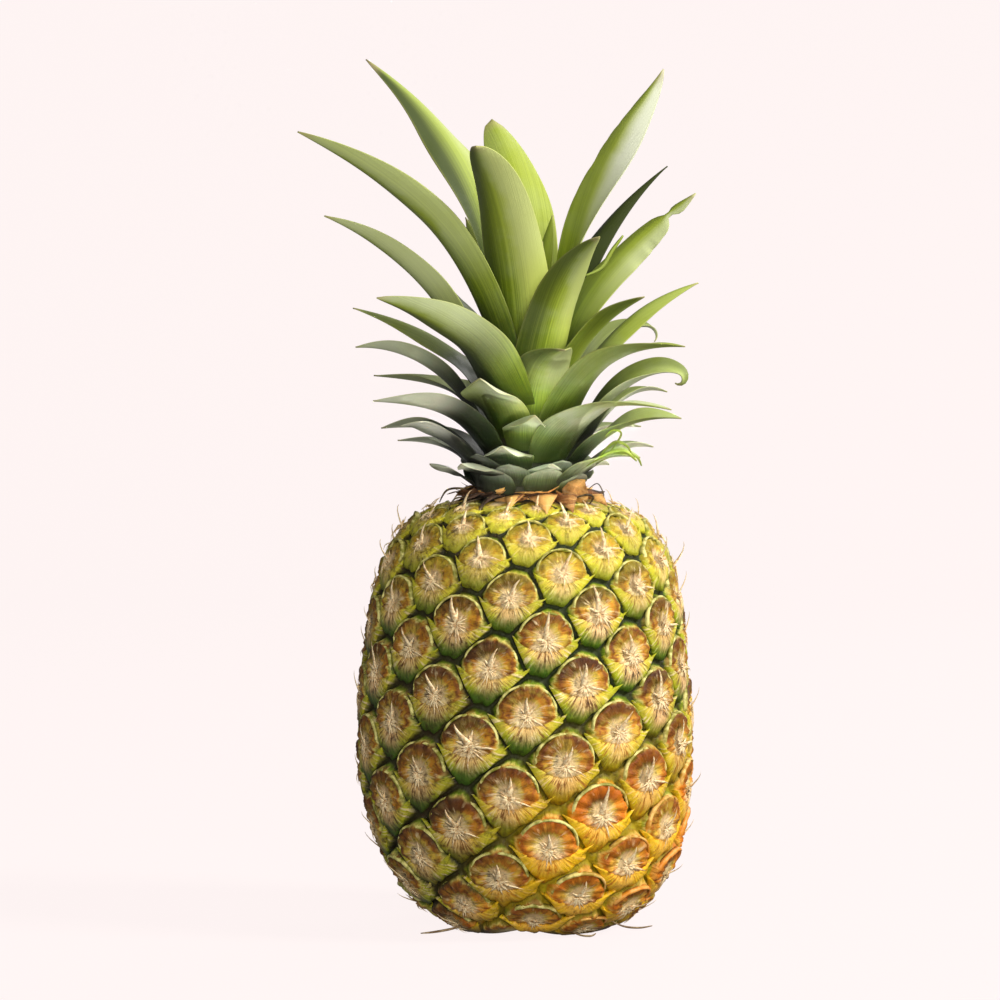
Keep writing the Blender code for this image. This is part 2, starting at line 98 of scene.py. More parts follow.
# The fine skin, and the low arch under its front
ARCH_RISE, ARCH_AT, ARCH_WIDTH, ARCH_FADES = 2.4, -3.0, 9.0, 12.0
SKIN_COLUMNS, SKIN_ROWS = 420, 228
NECK_SEAT = ((21.0, 167.3), (20.0, 165.4), (12.0, 162.6))
STALK_RADIUS, STALK_HEIGHT, GAP = 12.0, 7.7, 0.3
STALK_OUTLINE = (
    (0.0, 0.3), (9.0, 0.35), (STALK_RADIUS - 0.4, 0.0), (STALK_RADIUS, 0.5),
    (STALK_RADIUS - 0.5, STALK_HEIGHT), (0.0, STALK_HEIGHT),
)

# The crown's stem and leaves
STEM = (
    (0.0, 162.9), (11.7, 162.9), (19.6, 165.8), (20.4, 168.2), (19.4, 171.0), (17.6, 176.0), (13.8, 186.0),
    (9.4, 198.0), (5.2, 209.0), (2.0, 215.5), (0.0, 217.0),
)
LEAVES = 46
LEAF_TURN = math.radians(137.2)
LEAF_START = math.radians(131.8)
ROOT_LOW, ROOT_HIGH = 171.9, 213.5
ROOT_CROWDING = 1.3
ROOT_OUT = 1.2
RULE_AT = (0, 5, 10, 15, 20, 25, 30, 35, 40, 45)
RULE = {
    "reach": (44, 50, 58, 62, 63, 65, 66, 62, 20, 5),
    "height": (179, 187, 199, 208, 220, 240, 268, 290, 288, 262),
    "root_slope": (34, 40, 46, 52, 61, 68, 74, 79, 83, 89),
    "tip_slope": (-6, -10, -6, 0, 10, 18, 26, 38, 70, 86),
    "width": (14, 15, 16, 17, 18, 18, 18, 18, 17, 13),
}
OWN_SHAPE = {
    1: {"reach": 38, "height": 180.5, "tip_slope": 2, "twist": 14},
    2: {"sway": 19, "reach": 48, "height": 184, "tip_slope": -20, "twist": 18},
    4: {"reach": 40, "height": 182, "tip_slope": -4, "root_slope": 52, "width": 17},
    6: {"sway": 15, "reach": 54, "height": 189, "tip_slope": 0},
    7: {"turn": 4, "reach": 34, "height": 182, "root_slope": 60, "tip_slope": 4, "width": 18},
    8: {"sway": -25, "reach": 55, "height": 194, "tip_slope": -4},
    9: {"reach": 51, "height": 196, "tip_slope": -12, "width": 16, "twist": 16},
    10: {"sway": 10, "reach": 62, "height": 199, "tip_slope": -8, "twist": 20},
    12: {"turn": 3, "sway": 4, "reach": 38, "height": 189, "root_slope": 66, "tip_slope": 2, "width": 22},
    13: {"sway": -3, "reach": 60, "height": 208, "tip_slope": -16, "width": 12},
    14: {"sway": 3, "reach": 59, "height": 194, "tip_slope": -6, "width": 14, "twist": 14},
    15: {"sway": 28, "reach": 65, "height": 203, "root_slope": 53, "tip_slope": -20, "width": 19},
    17: {"sway": -12, "reach": 64, "height": 206, "tip_slope": 2, "twist": 16},
    18: {"sway": 4, "reach": 65, "height": 212, "tip_slope": -50, "twist": 24, "curl": -150},
    19: {"sway": 20, "reach": 71, "height": 214, "tip_slope": 6},
    20: {"sway": 8, "reach": 42, "height": 201, "root_slope": 73, "tip_slope": 4, "width": 25},
    21: {"sway": -14, "reach": 64, "height": 231, "tip_slope": -32, "width": 14, "twist": 20, "curl": -110},
    22: {"sway": -4, "reach": 67, "height": 226, "tip_slope": -4, "twist": 18},
    23: {"sway": 17, "reach": 67, "height": 227, "tip_slope": -4, "width": 22},
    25: {"sway": 14, "reach": 44, "height": 215, "root_slope": 74, "tip_slope": 6, "width": 27},
    26: {"reach": 68, "height": 251, "tip_slope": 16, "width": 14, "twist": 24},
    27: {"sway": 18, "reach": 71, "height": 241, "tip_slope": 14},
    28: {"turn": -2, "sway": 8, "reach": 43, "height": 226, "root_slope": 78, "tip_slope": 14, "width": 27},
    29: {"sway": -26, "reach": 68, "height": 297, "tip_slope": 42, "width": 15},
    30: {"sway": -2, "reach": 81, "height": 277, "root_slope": 69, "tip_slope": 22, "twist": 24},
    31: {"turn": 3, "sway": -6, "reach": 51, "height": 246, "root_slope": 78, "tip_slope": 24, "width": 22},
    33: {"sway": -24, "reach": 81, "height": 254, "root_slope": 76, "tip_slope": -6, "width": 25},
    34: {"sway": -17, "reach": 67, "height": 286, "tip_slope": 38, "width": 20, "twist": 34},
    35: {"reach": 64, "height": 275, "tip_slope": 36},
    36: {"sway": 3, "reach": 49, "height": 269, "tip_slope": 34, "width": 25},
    37: {"turn": 8, "sway": 18, "reach": 56, "height": 316, "tip_slope": 48, "width": 26},
    38: {"sway": -16, "reach": 93, "height": 309, "tip_slope": 28, "width": 19, "twist": 26},
    39: {"sway": 13, "reach": 55, "height": 333, "root_slope": 79, "tip_slope": 46, "width": 25,
         "twist": 46},
    40: {"sway": 22, "reach": 72, "height": 339, "tip_slope": 36, "width": 30},
    41: {"turn": -17, "sway": 1, "reach": 60, "height": 303, "root_slope": 88, "tip_slope": 26, "width": 28},
}
LEAF_FOLD = 0.42
FOLD_BEGINS, FOLD_RUNS = 14.0, 30.0
ROOT_HANDLE, TIP_HANDLE = 0.42, 0.36
ROOT_WIDTH, FULL_WIDTH_AT = 0.8, 0.25
TAPER_FROM, TAPER_POWER = 0.22, 2.4
WRAP_AT_ROOT, WRAP_FURTHER = math.radians(30.0), math.radians(60.0)
WRAP_GROWS = 0.35
TWIST_GROWS = 0.8
LEAF_STEPS, LEAF_COLUMNS = 54, 14
EDGE_THICKNESS, MIDRIB_THICKNESS = 0.25, 1.1
CURL_FROM = 0.86

# What the fine leaves add: the middle ones are wider than their solids, the high ones at the back hang more,
# torn edges begin half way out, and a notched leaf is narrowest just before its tip
WIDER, WIDEST_LEAF, WIDER_SPREAD = 0.22, 15.0, 9.0
BACK_FROM, BACK_DROOP = 26, 2.1
TEARS, TEARS_FROM, TEARS_RUN = 40, 0.45, 0.3
NOTCH_AT, NOTCH_HALF = 0.88, 0.025
# A plain leaf has no painted shade over the whole of it (mark), some painted shade on its left half, a
# little painted light on its right half and no painted sheen (paint)
PLAIN_MARK, PLAIN_PAINT = 0.5, (0.45, 0.1, 0.0)
# Leaves with measures of their own: how blunt the tip is, how far the edges hang (droop), how much of an
# edge is torn away (nibbled, notch), how much painted shade darkens the whole leaf (mark, darkest at 0),
# and the shares of painted shade on its left half, of painted light on its right half and of a whitish
# painted backlit sheen (paint). The other keys change the measures that the solid leaf has
FINE_SHAPE = {
    1: {"blunt": 0.6, "droop": 1.8},
    4: {"blunt": 0.5, "droop": 2.4, "width": 15.0, "paint": (0.1, 0.4, 0.0)},
    7: {"blunt": 0.5, "droop": 2.8, "width": 13.0, "paint": (0.1, 0.3, 0.3)},
    9: {"blunt": 0.8, "droop": 1.0},
    12: {"blunt": 0.5, "droop": 3.0, "width": 19.0, "paint": (0.1, 0.3, 0.5)},
    15: {"blunt": 0.8, "droop": 0.6, "paint": (0.2, 0.4, 0.2)},
    20: {"blunt": 0.5, "droop": 3.0, "width": 17.0, "paint": (0.1, 0.3, 0.5)},
    25: {"blunt": 0.5, "droop": 2.6, "width": 25.0, "paint": (0.0, 0.4, 0.7)},
    28: {"blunt": 0.7, "paint": (0.8, 0.25, 0.0)},
    29: {"mark": 0.0},
    30: {"blunt": 0.9, "paint": (0.3, 0.35, 0.1)},
    31: {"blunt": 0.75, "paint": (0.6, 0.3, 0.0)},
    33: {"blunt": 0.7, "twist": 30.0, "root_slope": 40.0, "tip_slope": 20.0, "height": 246.0, "width": 21.0,
         "paint": (0.7, 0.0, 0.2)},
    34: {"blunt": 0.8, "nibbled": 0.3, "notch": 0.8, "droop": 1.7, "paint": (0.3, 0.3, 0.4)},
    35: {"reach": 49.0, "height": 264.0, "mark": 0.15},
    36: {"blunt": 0.75, "paint": (0.75, 0.65, 0.0)},
    37: {"blunt": 0.45, "mark": 0.35, "paint": (0.2, 0.2, 0.0)},
    38: {"blunt": 0.8, "paint": (0.25, 0.25, 0.0)},
    39: {"blunt": 0.8, "nibbled": 0.6, "droop": 2.2, "paint": (0.1, 0.5, 0.95), "curl": 12.0},
    40: {"blunt": 0.85, "paint": (0.9, 0.2, 0.15)},
    41: {"blunt": 0.6, "paint": (0.75, 0.9, 0.05)},
}
YOUNG_FROM = 0.45

# Short scales at the foot of the crown and the withered leaflets under them, with the span of each measure
FOOT_SCALES = 17
SCALE_LEVEL, SCALE_RISE, SCALE_START, SCALE_OUT = 168.4, 0.45, 0.9, 0.4
SCALE_REACH, SCALE_HEIGHT, SCALE_WIDTH = (24.0, 28.0), (8.0, 10.5), (15.0, 19.0)
SCALE_ROOT_SLOPE, SCALE_TIP_SLOPE = 74.0, (25.0, 60.0)
# SCALE_MARK darkens the scales with painted shade, as a shaded leaf's mark does
SCALE_BLUNT, SCALE_DROOP, SCALE_ALONG, SCALE_MARK = 0.5, 2.0, 0.5, 0.22
SCALE_STEPS, SCALE_COLUMNS = 14, 12
LEAFLET_ROOT, LEAFLET_LEVEL = 17.5, 168.0
LEAFLET_LENGTH, LEAFLET_WIDTH = (4.0, 13.0), (2.0, 8.0)
LEAFLET_LIFT, LEAFLET_CURL = (-0.8, 2.6), (-1.5, 6.0)
LEAFLET_STEPS, LEAFLET_TAPER = (0.0, 0.2, 0.45, 0.7, 0.88, 1.0), (0.9, 1.0, 0.85, 0.55, 0.28, 0.04)
TRIANGLE_STEPS, TRIANGLE_TAPER = (0.0, 0.2, 0.45, 0.7, 0.9, 1.0), (0.8, 1.0, 0.8, 0.45, 0.15, 0.03)
NECK_LEAFLETS = 60
NECK_TRIANGLES = (
    # Broad dry leaflets on the fruit's shoulder in front: root and tip (right, to the back, up), width, tone
    ((6.0, -20.0, 169.6), (7.4, -37.0, 163.2), 11.0, 0.7),
    ((17.6, -18.0, 167.2), (22.4, -19.0, 175.4), 11.0, 0.6),
    ((13.5, -18.0, 169.4), (17.5, -34.0, 163.4), 10.0, 0.4),
    ((-4.0, -20.0, 169.4), (-7.0, -32.5, 164.6), 8.0, 0.8),
    ((23.0, -12.0, 168.8), (31.0, -21.0, 165.2), 8.0, 0.5),
    ((-15.0, -17.0, 169.2), (-23.0, -26.0, 168.0), 8.0, 0.05),
    ((-20.0, -12.0, 168.6), (-31.0, -17.0, 169.6), 7.0, 0.1),
    ((-10.0, -19.0, 169.0), (-17.0, -29.0, 166.0), 5.0, 0.0),
)

# Strips and strands: greatest width, then the points of the route (right, to the back, up), and their tones
TORN_STRIPS = (
    # A torn strip beside a high leaf, and the tangle of thin curls low on the right
    (2.2, ((22.5, -18.4, 254.1), (28.5, -16.0, 257.0), (33.0, -15.5, 264.0), (37.0, -15.0, 269.5))),
    (2.0, ((22.8, -22.4, 180.9), (31.0, -27.0, 186.0), (37.0, -28.0, 187.0), (42.0, -26.0, 183.0))),
    (1.5, ((25.2, -21.4, 181.5), (33.0, -26.0, 190.0), (38.0, -26.0, 189.0), (40.0, -25.0, 186.0))),
    (1.6, ((26.2, -19.7, 181.9), (36.0, -24.0, 186.0), (42.0, -24.0, 184.5), (44.0, -23.0, 181.0))),
    (1.1, ((30.1, -21.8, 183.7), (36.0, -27.0, 193.0), (33.0, -28.0, 195.0), (30.0, -27.0, 192.5))),
)
STRANDS = (
    # Thin dry strands at the neck
    (1.1, ((-34.0, -6.0, 166.0), (-31.0, -12.0, 171.0), (-25.0, -14.0, 171.8), (-19.0, -13.0, 170.0))),
    (0.8, ((-31.0, -17.0, 163.5), (-28.0, -20.0, 168.0), (-24.0, -19.0, 168.5), (-20.0, -15.0, 166.8))),
    (1.0, ((-27.0, -21.0, 163.0), (-24.0, -24.0, 166.6), (-21.0, -22.0, 167.6), (-17.0, -14.0, 168.2))),
    (0.6, ((22.0, -9.0, 169.5), (27.0, -12.0, 173.6), (29.5, -14.0, 170.0), (30.0, -15.5, 166.5),
           (35.0, -16.0, 164.4))),
    (1.7, ((-19.0, -27.0, 162.6), (-17.5, -27.0, 165.6), (-15.0, -24.0, 168.8))),
    (1.2, ((24.0, -17.0, 165.8), (25.5, -19.5, 168.6), (23.0, -22.0, 169.8), (18.0, -21.0, 168.4))),
)
BASE_SPIKES = (
    # Dry spikes that stick out from under the fruit's foot
    (1.2, ((-25.0, -24.0, 4.0), (-31.0, -26.0, 2.2), (-38.0, -27.0, 1.0), (-43.5, -28.0, 0.6))),
    (1.0, ((30.0, -24.0, 5.0), (35.0, -26.0, 3.0), (41.0, -27.0, 2.6), (46.0, -27.0, 3.4))),
    (1.0, ((14.0, -31.0, 2.0), (18.0, -34.0, 0.8), (22.0, -35.5, 0.7), (24.0, -35.0, 1.6))),
)
STRAND_LEAF_TONE, STRAND_DRY_TONE = (0.8, 0.5, 0.5), (0.4, 0.4, 0.4)

# The papery spike of an eye, the pleats that fan out under it and the fibres above its root
SPIKE_LENGTH, SPIKE_LEAN, SPIKE_LIFT = (8.0, 12.5), 0.28, (2.0, 5.5)
SPIKE_WIDTHS = (2.0, 3.8, 3.0, 2.2, 1.5, 0.9, 0.2)
PLEATS, PLEAT_FAN, PLEAT_REACH = 13, 2.0, (3.2, 10.0)
PLEAT_WIDTHS = (1.5, 1.0, 0.6, 0.1)
FIBRES, FIBRE_FAN, FIBRE_REACH = 4, 1.3, (3.0, 6.5)
FIBRE_WIDTHS = (2.2, 1.6, 0.8, 0.1)

# The scalloped rim of a disc, and the chance in the turn and size of the rims and spikes
RIM_STEPS, RIM_END, RIM_SCALLOPS = 34, 112.0, 4.3
RIM_SHAPES, RIM_WOBBLE, RIM_SPREAD, RIM_SEED = 4, 0.12, 0.05, 5
SPIKE_SHAPES, SPIKE_WOBBLE, SPIKE_SPREAD, SPIKE_SEED = 7, 0.3, 0.3, 11

# Where each kind of chance values starts
TONE_SEED, BRACT_SEED, LEAF_SEED, SCALE_SEED, LEAFLET_SEED = 7, 19, 500, 77, 31

# The photo's frame: its side, the fruit's axis and base in it, and its scale
IMAGE_SIDE = 1000
AXIS_PX, BASE_PX = 533, 927
METRES_PER_PX = 0.00039
CAMERA_AWAY = 1.8
CAMERA_RISE = 3.2
SENSOR = 36.0

# The floor and backdrop in metres, their glow and the studio's light
FLOOR_FRONT, FLOOR_BACK, STAGE_HALF_WIDTH = -3.0, 1.6, 4.0
SWEEP_RADIUS, SWEEP_STEPS, BACKDROP_TOP = 0.8, 12, 4.0
FLOOR = (1.0, 0.913, 0.905, 1.0)
FLOOR_SHADE, FLOOR_GLOW = 0.05, 0.96
WORLD_COLOUR = (1.0, 0.98, 0.96, 1.0)
WORLD_STRENGTH = 0.25
LIGHTS = (
    # Name, place, power, size, colour, the height aimed at and how wide the light fans out in degrees
    ("key", (1.9, -0.7, 1.6), 70.0, 0.6, (1.0, 0.98, 0.93), 0.15, 180.0),
    ("rim", (0.9, 1.4, 1.2), 9.0, 0.7, (1.0, 0.99, 0.95), 0.15, 180.0),
    ("front", (0.2, -2.1, 0.6), 27.0, 0.8, (1.0, 0.98, 0.96), 0.15, 180.0),
    ("low", (0.1, -1.3, 0.05), 0.02, 0.05, (1.0, 0.98, 0.96), 0.19, 4.0),
)


def smooth(x):
    x = np.clip(x, 0.0, 1.0)
    return x * x * (3.0 - 2.0 * x)


def hill(x, centre, width):
    return np.exp(-((x - centre) / width) ** 2)


def bow(height):
    """How far the plant's axis stands to the side at a height."""
    z0, z1, z2, z3 = BOW_HEIGHTS
    return BOW_OUT * smooth((height - z0) / (z1 - z0)) + BOW_BACK * smooth((height - z2) / (z3 - z2))


def wrap(turn):
    return (turn + math.pi) % (2.0 * math.pi) - math.pi


def smooth_outline(points, steps):
    """A smooth curve through (radius, height) points, as an array of such pairs."""
    points = [Vector((r, z, 0.0)) for r, z in points]
    headings = [(b - a).normalized() for a, b in zip([points[0]] + points, points[1:] + [points[-1]])]
    curve = [points[0]]
    for i in range(len(points) - 1):
        here, there = points[i], points[i + 1]
        handle = (there - here).length / 3.0
        start = (headings[i] + headings[i + 1]).normalized() if i else headings[1]
        end = headings[i + 1] + (headings[i + 2] if i + 2 < len(points) else headings[i + 1])
        leaving, arriving = here + start * handle, there - end.normalized() * handle
        curve += interpolate_bezier(here, leaving, arriving, there, steps)[1:]
    return np.array([(p.x, p.y) for p in curve])


class Barrel:
    """The fruit's outline read by u, its height on a map on which angles are true."""

    def __init__(self, outline):
        self.r, self.z = smooth_outline(outline, 40).T
        pieces = np.hypot(np.diff(self.r), np.diff(self.z))
        self.s = np.concatenate(([0.0], np.cumsum(pieces)))
        mid_radius = (self.r[1:] + self.r[:-1]) / 2.0
        self.u = np.concatenate(([0.0], np.cumsum(pieces / mid_radius)))
        self.tr, self.tz = np.gradient(self.r, self.s), np.gradient(self.z, self.s)
        self.belly = float(np.interp(BELLY, self.z, self.s))

    def read(self, values, u):
        return np.interp(u, self.u, values)

    def u_at(self, s):
        below = np.minimum(s - self.s[0], 0.0) / self.r[0]
        above = np.maximum(s - self.s[-1], 0.0) / self.r[-1]
        return np.interp(s, self.s, self.u) + below + above

    def fade(self, u):
        s = self.read(self.s, u)
        return smooth((s - self.s[0]) / FADE) * smooth((self.s[-1] - s) / FADE)

    def place(self, turn, u, height):
        """Points at places on the map, raised by a height."""
        r = self.read(self.r, u) + self.read(self.tz, u) * height
        z = self.read(self.z, u) - self.read(self.tr, u) * height
        return np.stack((r * np.sin(turn), -r * np.cos(turn), z), axis=-1)


def eyes_on(barrel):
    """Turn, map height, radius and half width of each eye, with some more past both ends of the fruit."""
    eyes = []
    for k in range(FIRST_EYE - GHOST_EYES, LAST_EYE + GHOST_EYES + 1):
        s = barrel.belly + EYE_LEVEL + EYE_RISE * k - EYE_CROWDING * k * k
        u = float(barrel.u_at(s))
        radius = float(barrel.read(barrel.r, u))
        area = 2.0 * math.pi * radius * (EYE_RISE - 2.0 * EYE_CROWDING * k)
        eyes.append((wrap(EYE_START + EYE_TURN * k), u, radius, HEX_INRADIUS * math.sqrt(max(area, 1.0))))
    return np.array(eyes)


def colour(red, green, blue):
    """A screen colour of 0 to 255 a channel, as the shader's linear values."""
    values = []
    for channel in (red, green, blue):
        c = channel / 255.0
        values.append(c / 12.92 if c <= 0.04045 else ((c + 0.055) / 1.055) ** 2.4)
    return (*values, 1.0)


def add_node(tree, kind, settings=None, inputs=None):
    """A node of one kind: its settings first, then a value or a link for each named or numbered socket."""
    node = tree.nodes.new(kind)
    for name, value in (settings or {}).items():
        setattr(node, name, value)
    for key, value in (inputs or {}).items():
        if isinstance(key, int):
            socket = node.inputs[key]
        else:
            socket = next(s for s in node.inputs if s.name == key and s.enabled)
        value = value.socket if isinstance(value, Value) else value
        if isinstance(value, bpy.types.NodeSocket):
            tree.links.new(value, socket)
        else:
            socket.default_value = value
    return node


class Value:
    """A shader socket that takes part in sums as a number does."""

    def __init__(self, tree, socket):
        self.tree, self.socket = tree, socket

    def calc(self, operation, *values):
        node = add_node(self.tree, "ShaderNodeMath", {"operation": operation}, dict(enumerate(values)))
        return Value(self.tree, node.outputs[0])

    def __add__(self, other):
        return self.calc("ADD", self, other)

    def __radd__(self, other):
        return self.calc("ADD", other, self)

    def __sub__(self, other):
        return self.calc("SUBTRACT", self, other)

    def __rsub__(self, other):
        return self.calc("SUBTRACT", other, self)

    def __mul__(self, other):
        return self.calc("MULTIPLY", self, other)

    def __truediv__(self, other):
        return self.calc("DIVIDE", self, other)

    def __abs__(self):
        return self.calc("ABSOLUTE", self)

    def power(self, exponent):
        return self.calc("POWER", self, exponent)

    def between(self, low, high):
        """Zero below low, one above high and smooth between, or the other way round if low is higher."""
        inputs = {"Value": self, "From Min": low, "From Max": high}
        node = add_node(self.tree, "ShaderNodeMapRange", {"interpolation_type": "SMOOTHSTEP"}, inputs)
        return Value(self.tree, node.outputs[0])


class Finish:
    """The nodes of one material."""

    def __init__(self, name, roughness=0.5, constants=None):
        self.material = bpy.data.materials.new(name)
        self.material.use_nodes = True
        self.tree = self.material.node_tree
        self.shader = self.tree.nodes["Principled BSDF"]
        self.shader.inputs["Roughness"].default_value = roughness
        for socket, value in (constants or {}).items():
            self.shader.inputs[socket].default_value = value

    def node(self, kind, settings=None, inputs=None):
        return add_node(self.tree, kind, settings, inputs)

    def parts(self, vector):
        """The three numbers of a vector."""
        node = self.node("ShaderNodeSeparateXYZ", None, {0: vector})
        return [Value(self.tree, socket) for socket in node.outputs]

    def attribute(self, name):
        return self.node("ShaderNodeAttribute", {"attribute_name": name}).outputs["Vector"]

    def point(self):
        return self.node("ShaderNodeTexCoord").outputs["Object"]

    def vector(self, x, y, z):
        return self.node("ShaderNodeCombineXYZ", None, {0: x, 1: y, 2: z}).outputs[0]

    def noise(self, vector, scale, detail=2.0, roughness=0.5):
        inputs = {"Vector": vector, "Scale": scale, "Detail": detail, "Roughness": roughness}
        return Value(self.tree, self.node("ShaderNodeTexNoise", None, inputs).outputs["Fac"])

    def mix(self, share, first, second, blend="MIX"):
        settings = {"data_type": "RGBA", "blend_type": blend}
        return self.node("ShaderNodeMix", settings, {0: share, 6: first, 7: second}).outputs[2]

    def ramp(self, value, stops):
        """A colour that runs through (value, colour) stops, the lowest value first."""
        low, high = stops[0][0], stops[-1][0]
        node = self.node("ShaderNodeValToRGB", None, {0: (value - low) / (high - low)})
        elements = node.color_ramp.elements
        elements[0].color, elements[1].color = stops[0][1], stops[-1][1]
        for place, stop in stops[1:-1]:
            elements.new((place - low) / (high - low)).color = stop
        return node.outputs["Color"]

    def bump(self, height, distance, strength):
        inputs = {"Height": height, "Distance": distance, "Strength": strength}
        return self.node("ShaderNodeBump", None, inputs).outputs[0]

    def surface(self, base, roughness=None, normal=None):
        for name, value in (("Base Color", base), ("Roughness", roughness), ("Normal", normal)):
            if isinstance(value, Value):
                value = value.socket
            if value is not None:
                self.tree.links.new(value, self.shader.inputs[name])
        return self.material


CREAM = colour(255, 230, 176)
PINK_CREAM = colour(238, 190, 134)
PALE_YELLOW = colour(232, 200, 74)
AMBER = colour(214, 142, 40)
BROWN_AMBER = colour(136, 72, 18)
MUSTARD = colour(190, 134, 30)
DARK_BROWN = colour(58, 26, 14)
NEAR_BLACK = colour(24, 16, 8)
PALE_RIM = colour(222, 206, 106)
LIME = colour(172, 178, 18)
PALE_LIME = colour(212, 200, 66)
MID_GREEN = colour(116, 142, 18)
LEAF_GREEN = colour(52, 88, 14)
GROOVE_GREEN = colour(38, 48, 10)
RIPE_ORANGE = colour(246, 130, 4)
RIPE_YELLOW = colour(255, 190, 0)
RIPE_GROOVE = colour(188, 160, 10)
TOP_YELLOW = colour(222, 210, 44)
SHADED_OLIVE = colour(84, 78, 42)
GREY = colour(96, 70, 38)
WHITE = (1.0, 1.0, 1.0, 1.0)
PAPER_BROWN, PAPER_CREAM, PAPER_TIP = colour(206, 160, 104), colour(252, 228, 178), colour(170, 128, 84)
RIM_OLIVE, RIM_CREAM = colour(132, 130, 34), colour(226, 216, 132)
DRY_FIBRE = colour(236, 204, 146)

# Leaf colours, each pair for the lowest leaves and for the highest
LEAF_FRESH = colour(56, 72, 34), colour(92, 116, 10)
LEAF_LIGHT = colour(112, 128, 74), colour(146, 166, 34)
LEAF_PALE = colour(228, 232, 210), colour(188, 200, 76)
LEAF_LIT = colour(222, 228, 190), colour(206, 216, 104)
LEAF_ROOT_SHADE = colour(6, 9, 3), colour(40, 56, 6)
LEAF_PALE_IN_SUN = colour(172, 188, 98)
LEAF_BLOOM = colour(200, 208, 186)
LEAF_SHADE = colour(36, 50, 12)
LEAF_WAX_AND_LIGHT = colour(240, 242, 226)
LEAF_BACKLIT_SHEEN = colour(236, 240, 214)
LEAF_EDGE = colour(176, 176, 92)
LEAF_DRY_TIP = colour(178, 160, 116)
LEAF_IN_SHADOW = colour(30, 42, 5)
LEAF_UNDERSIDE_SHADE = colour(12, 16, 5)


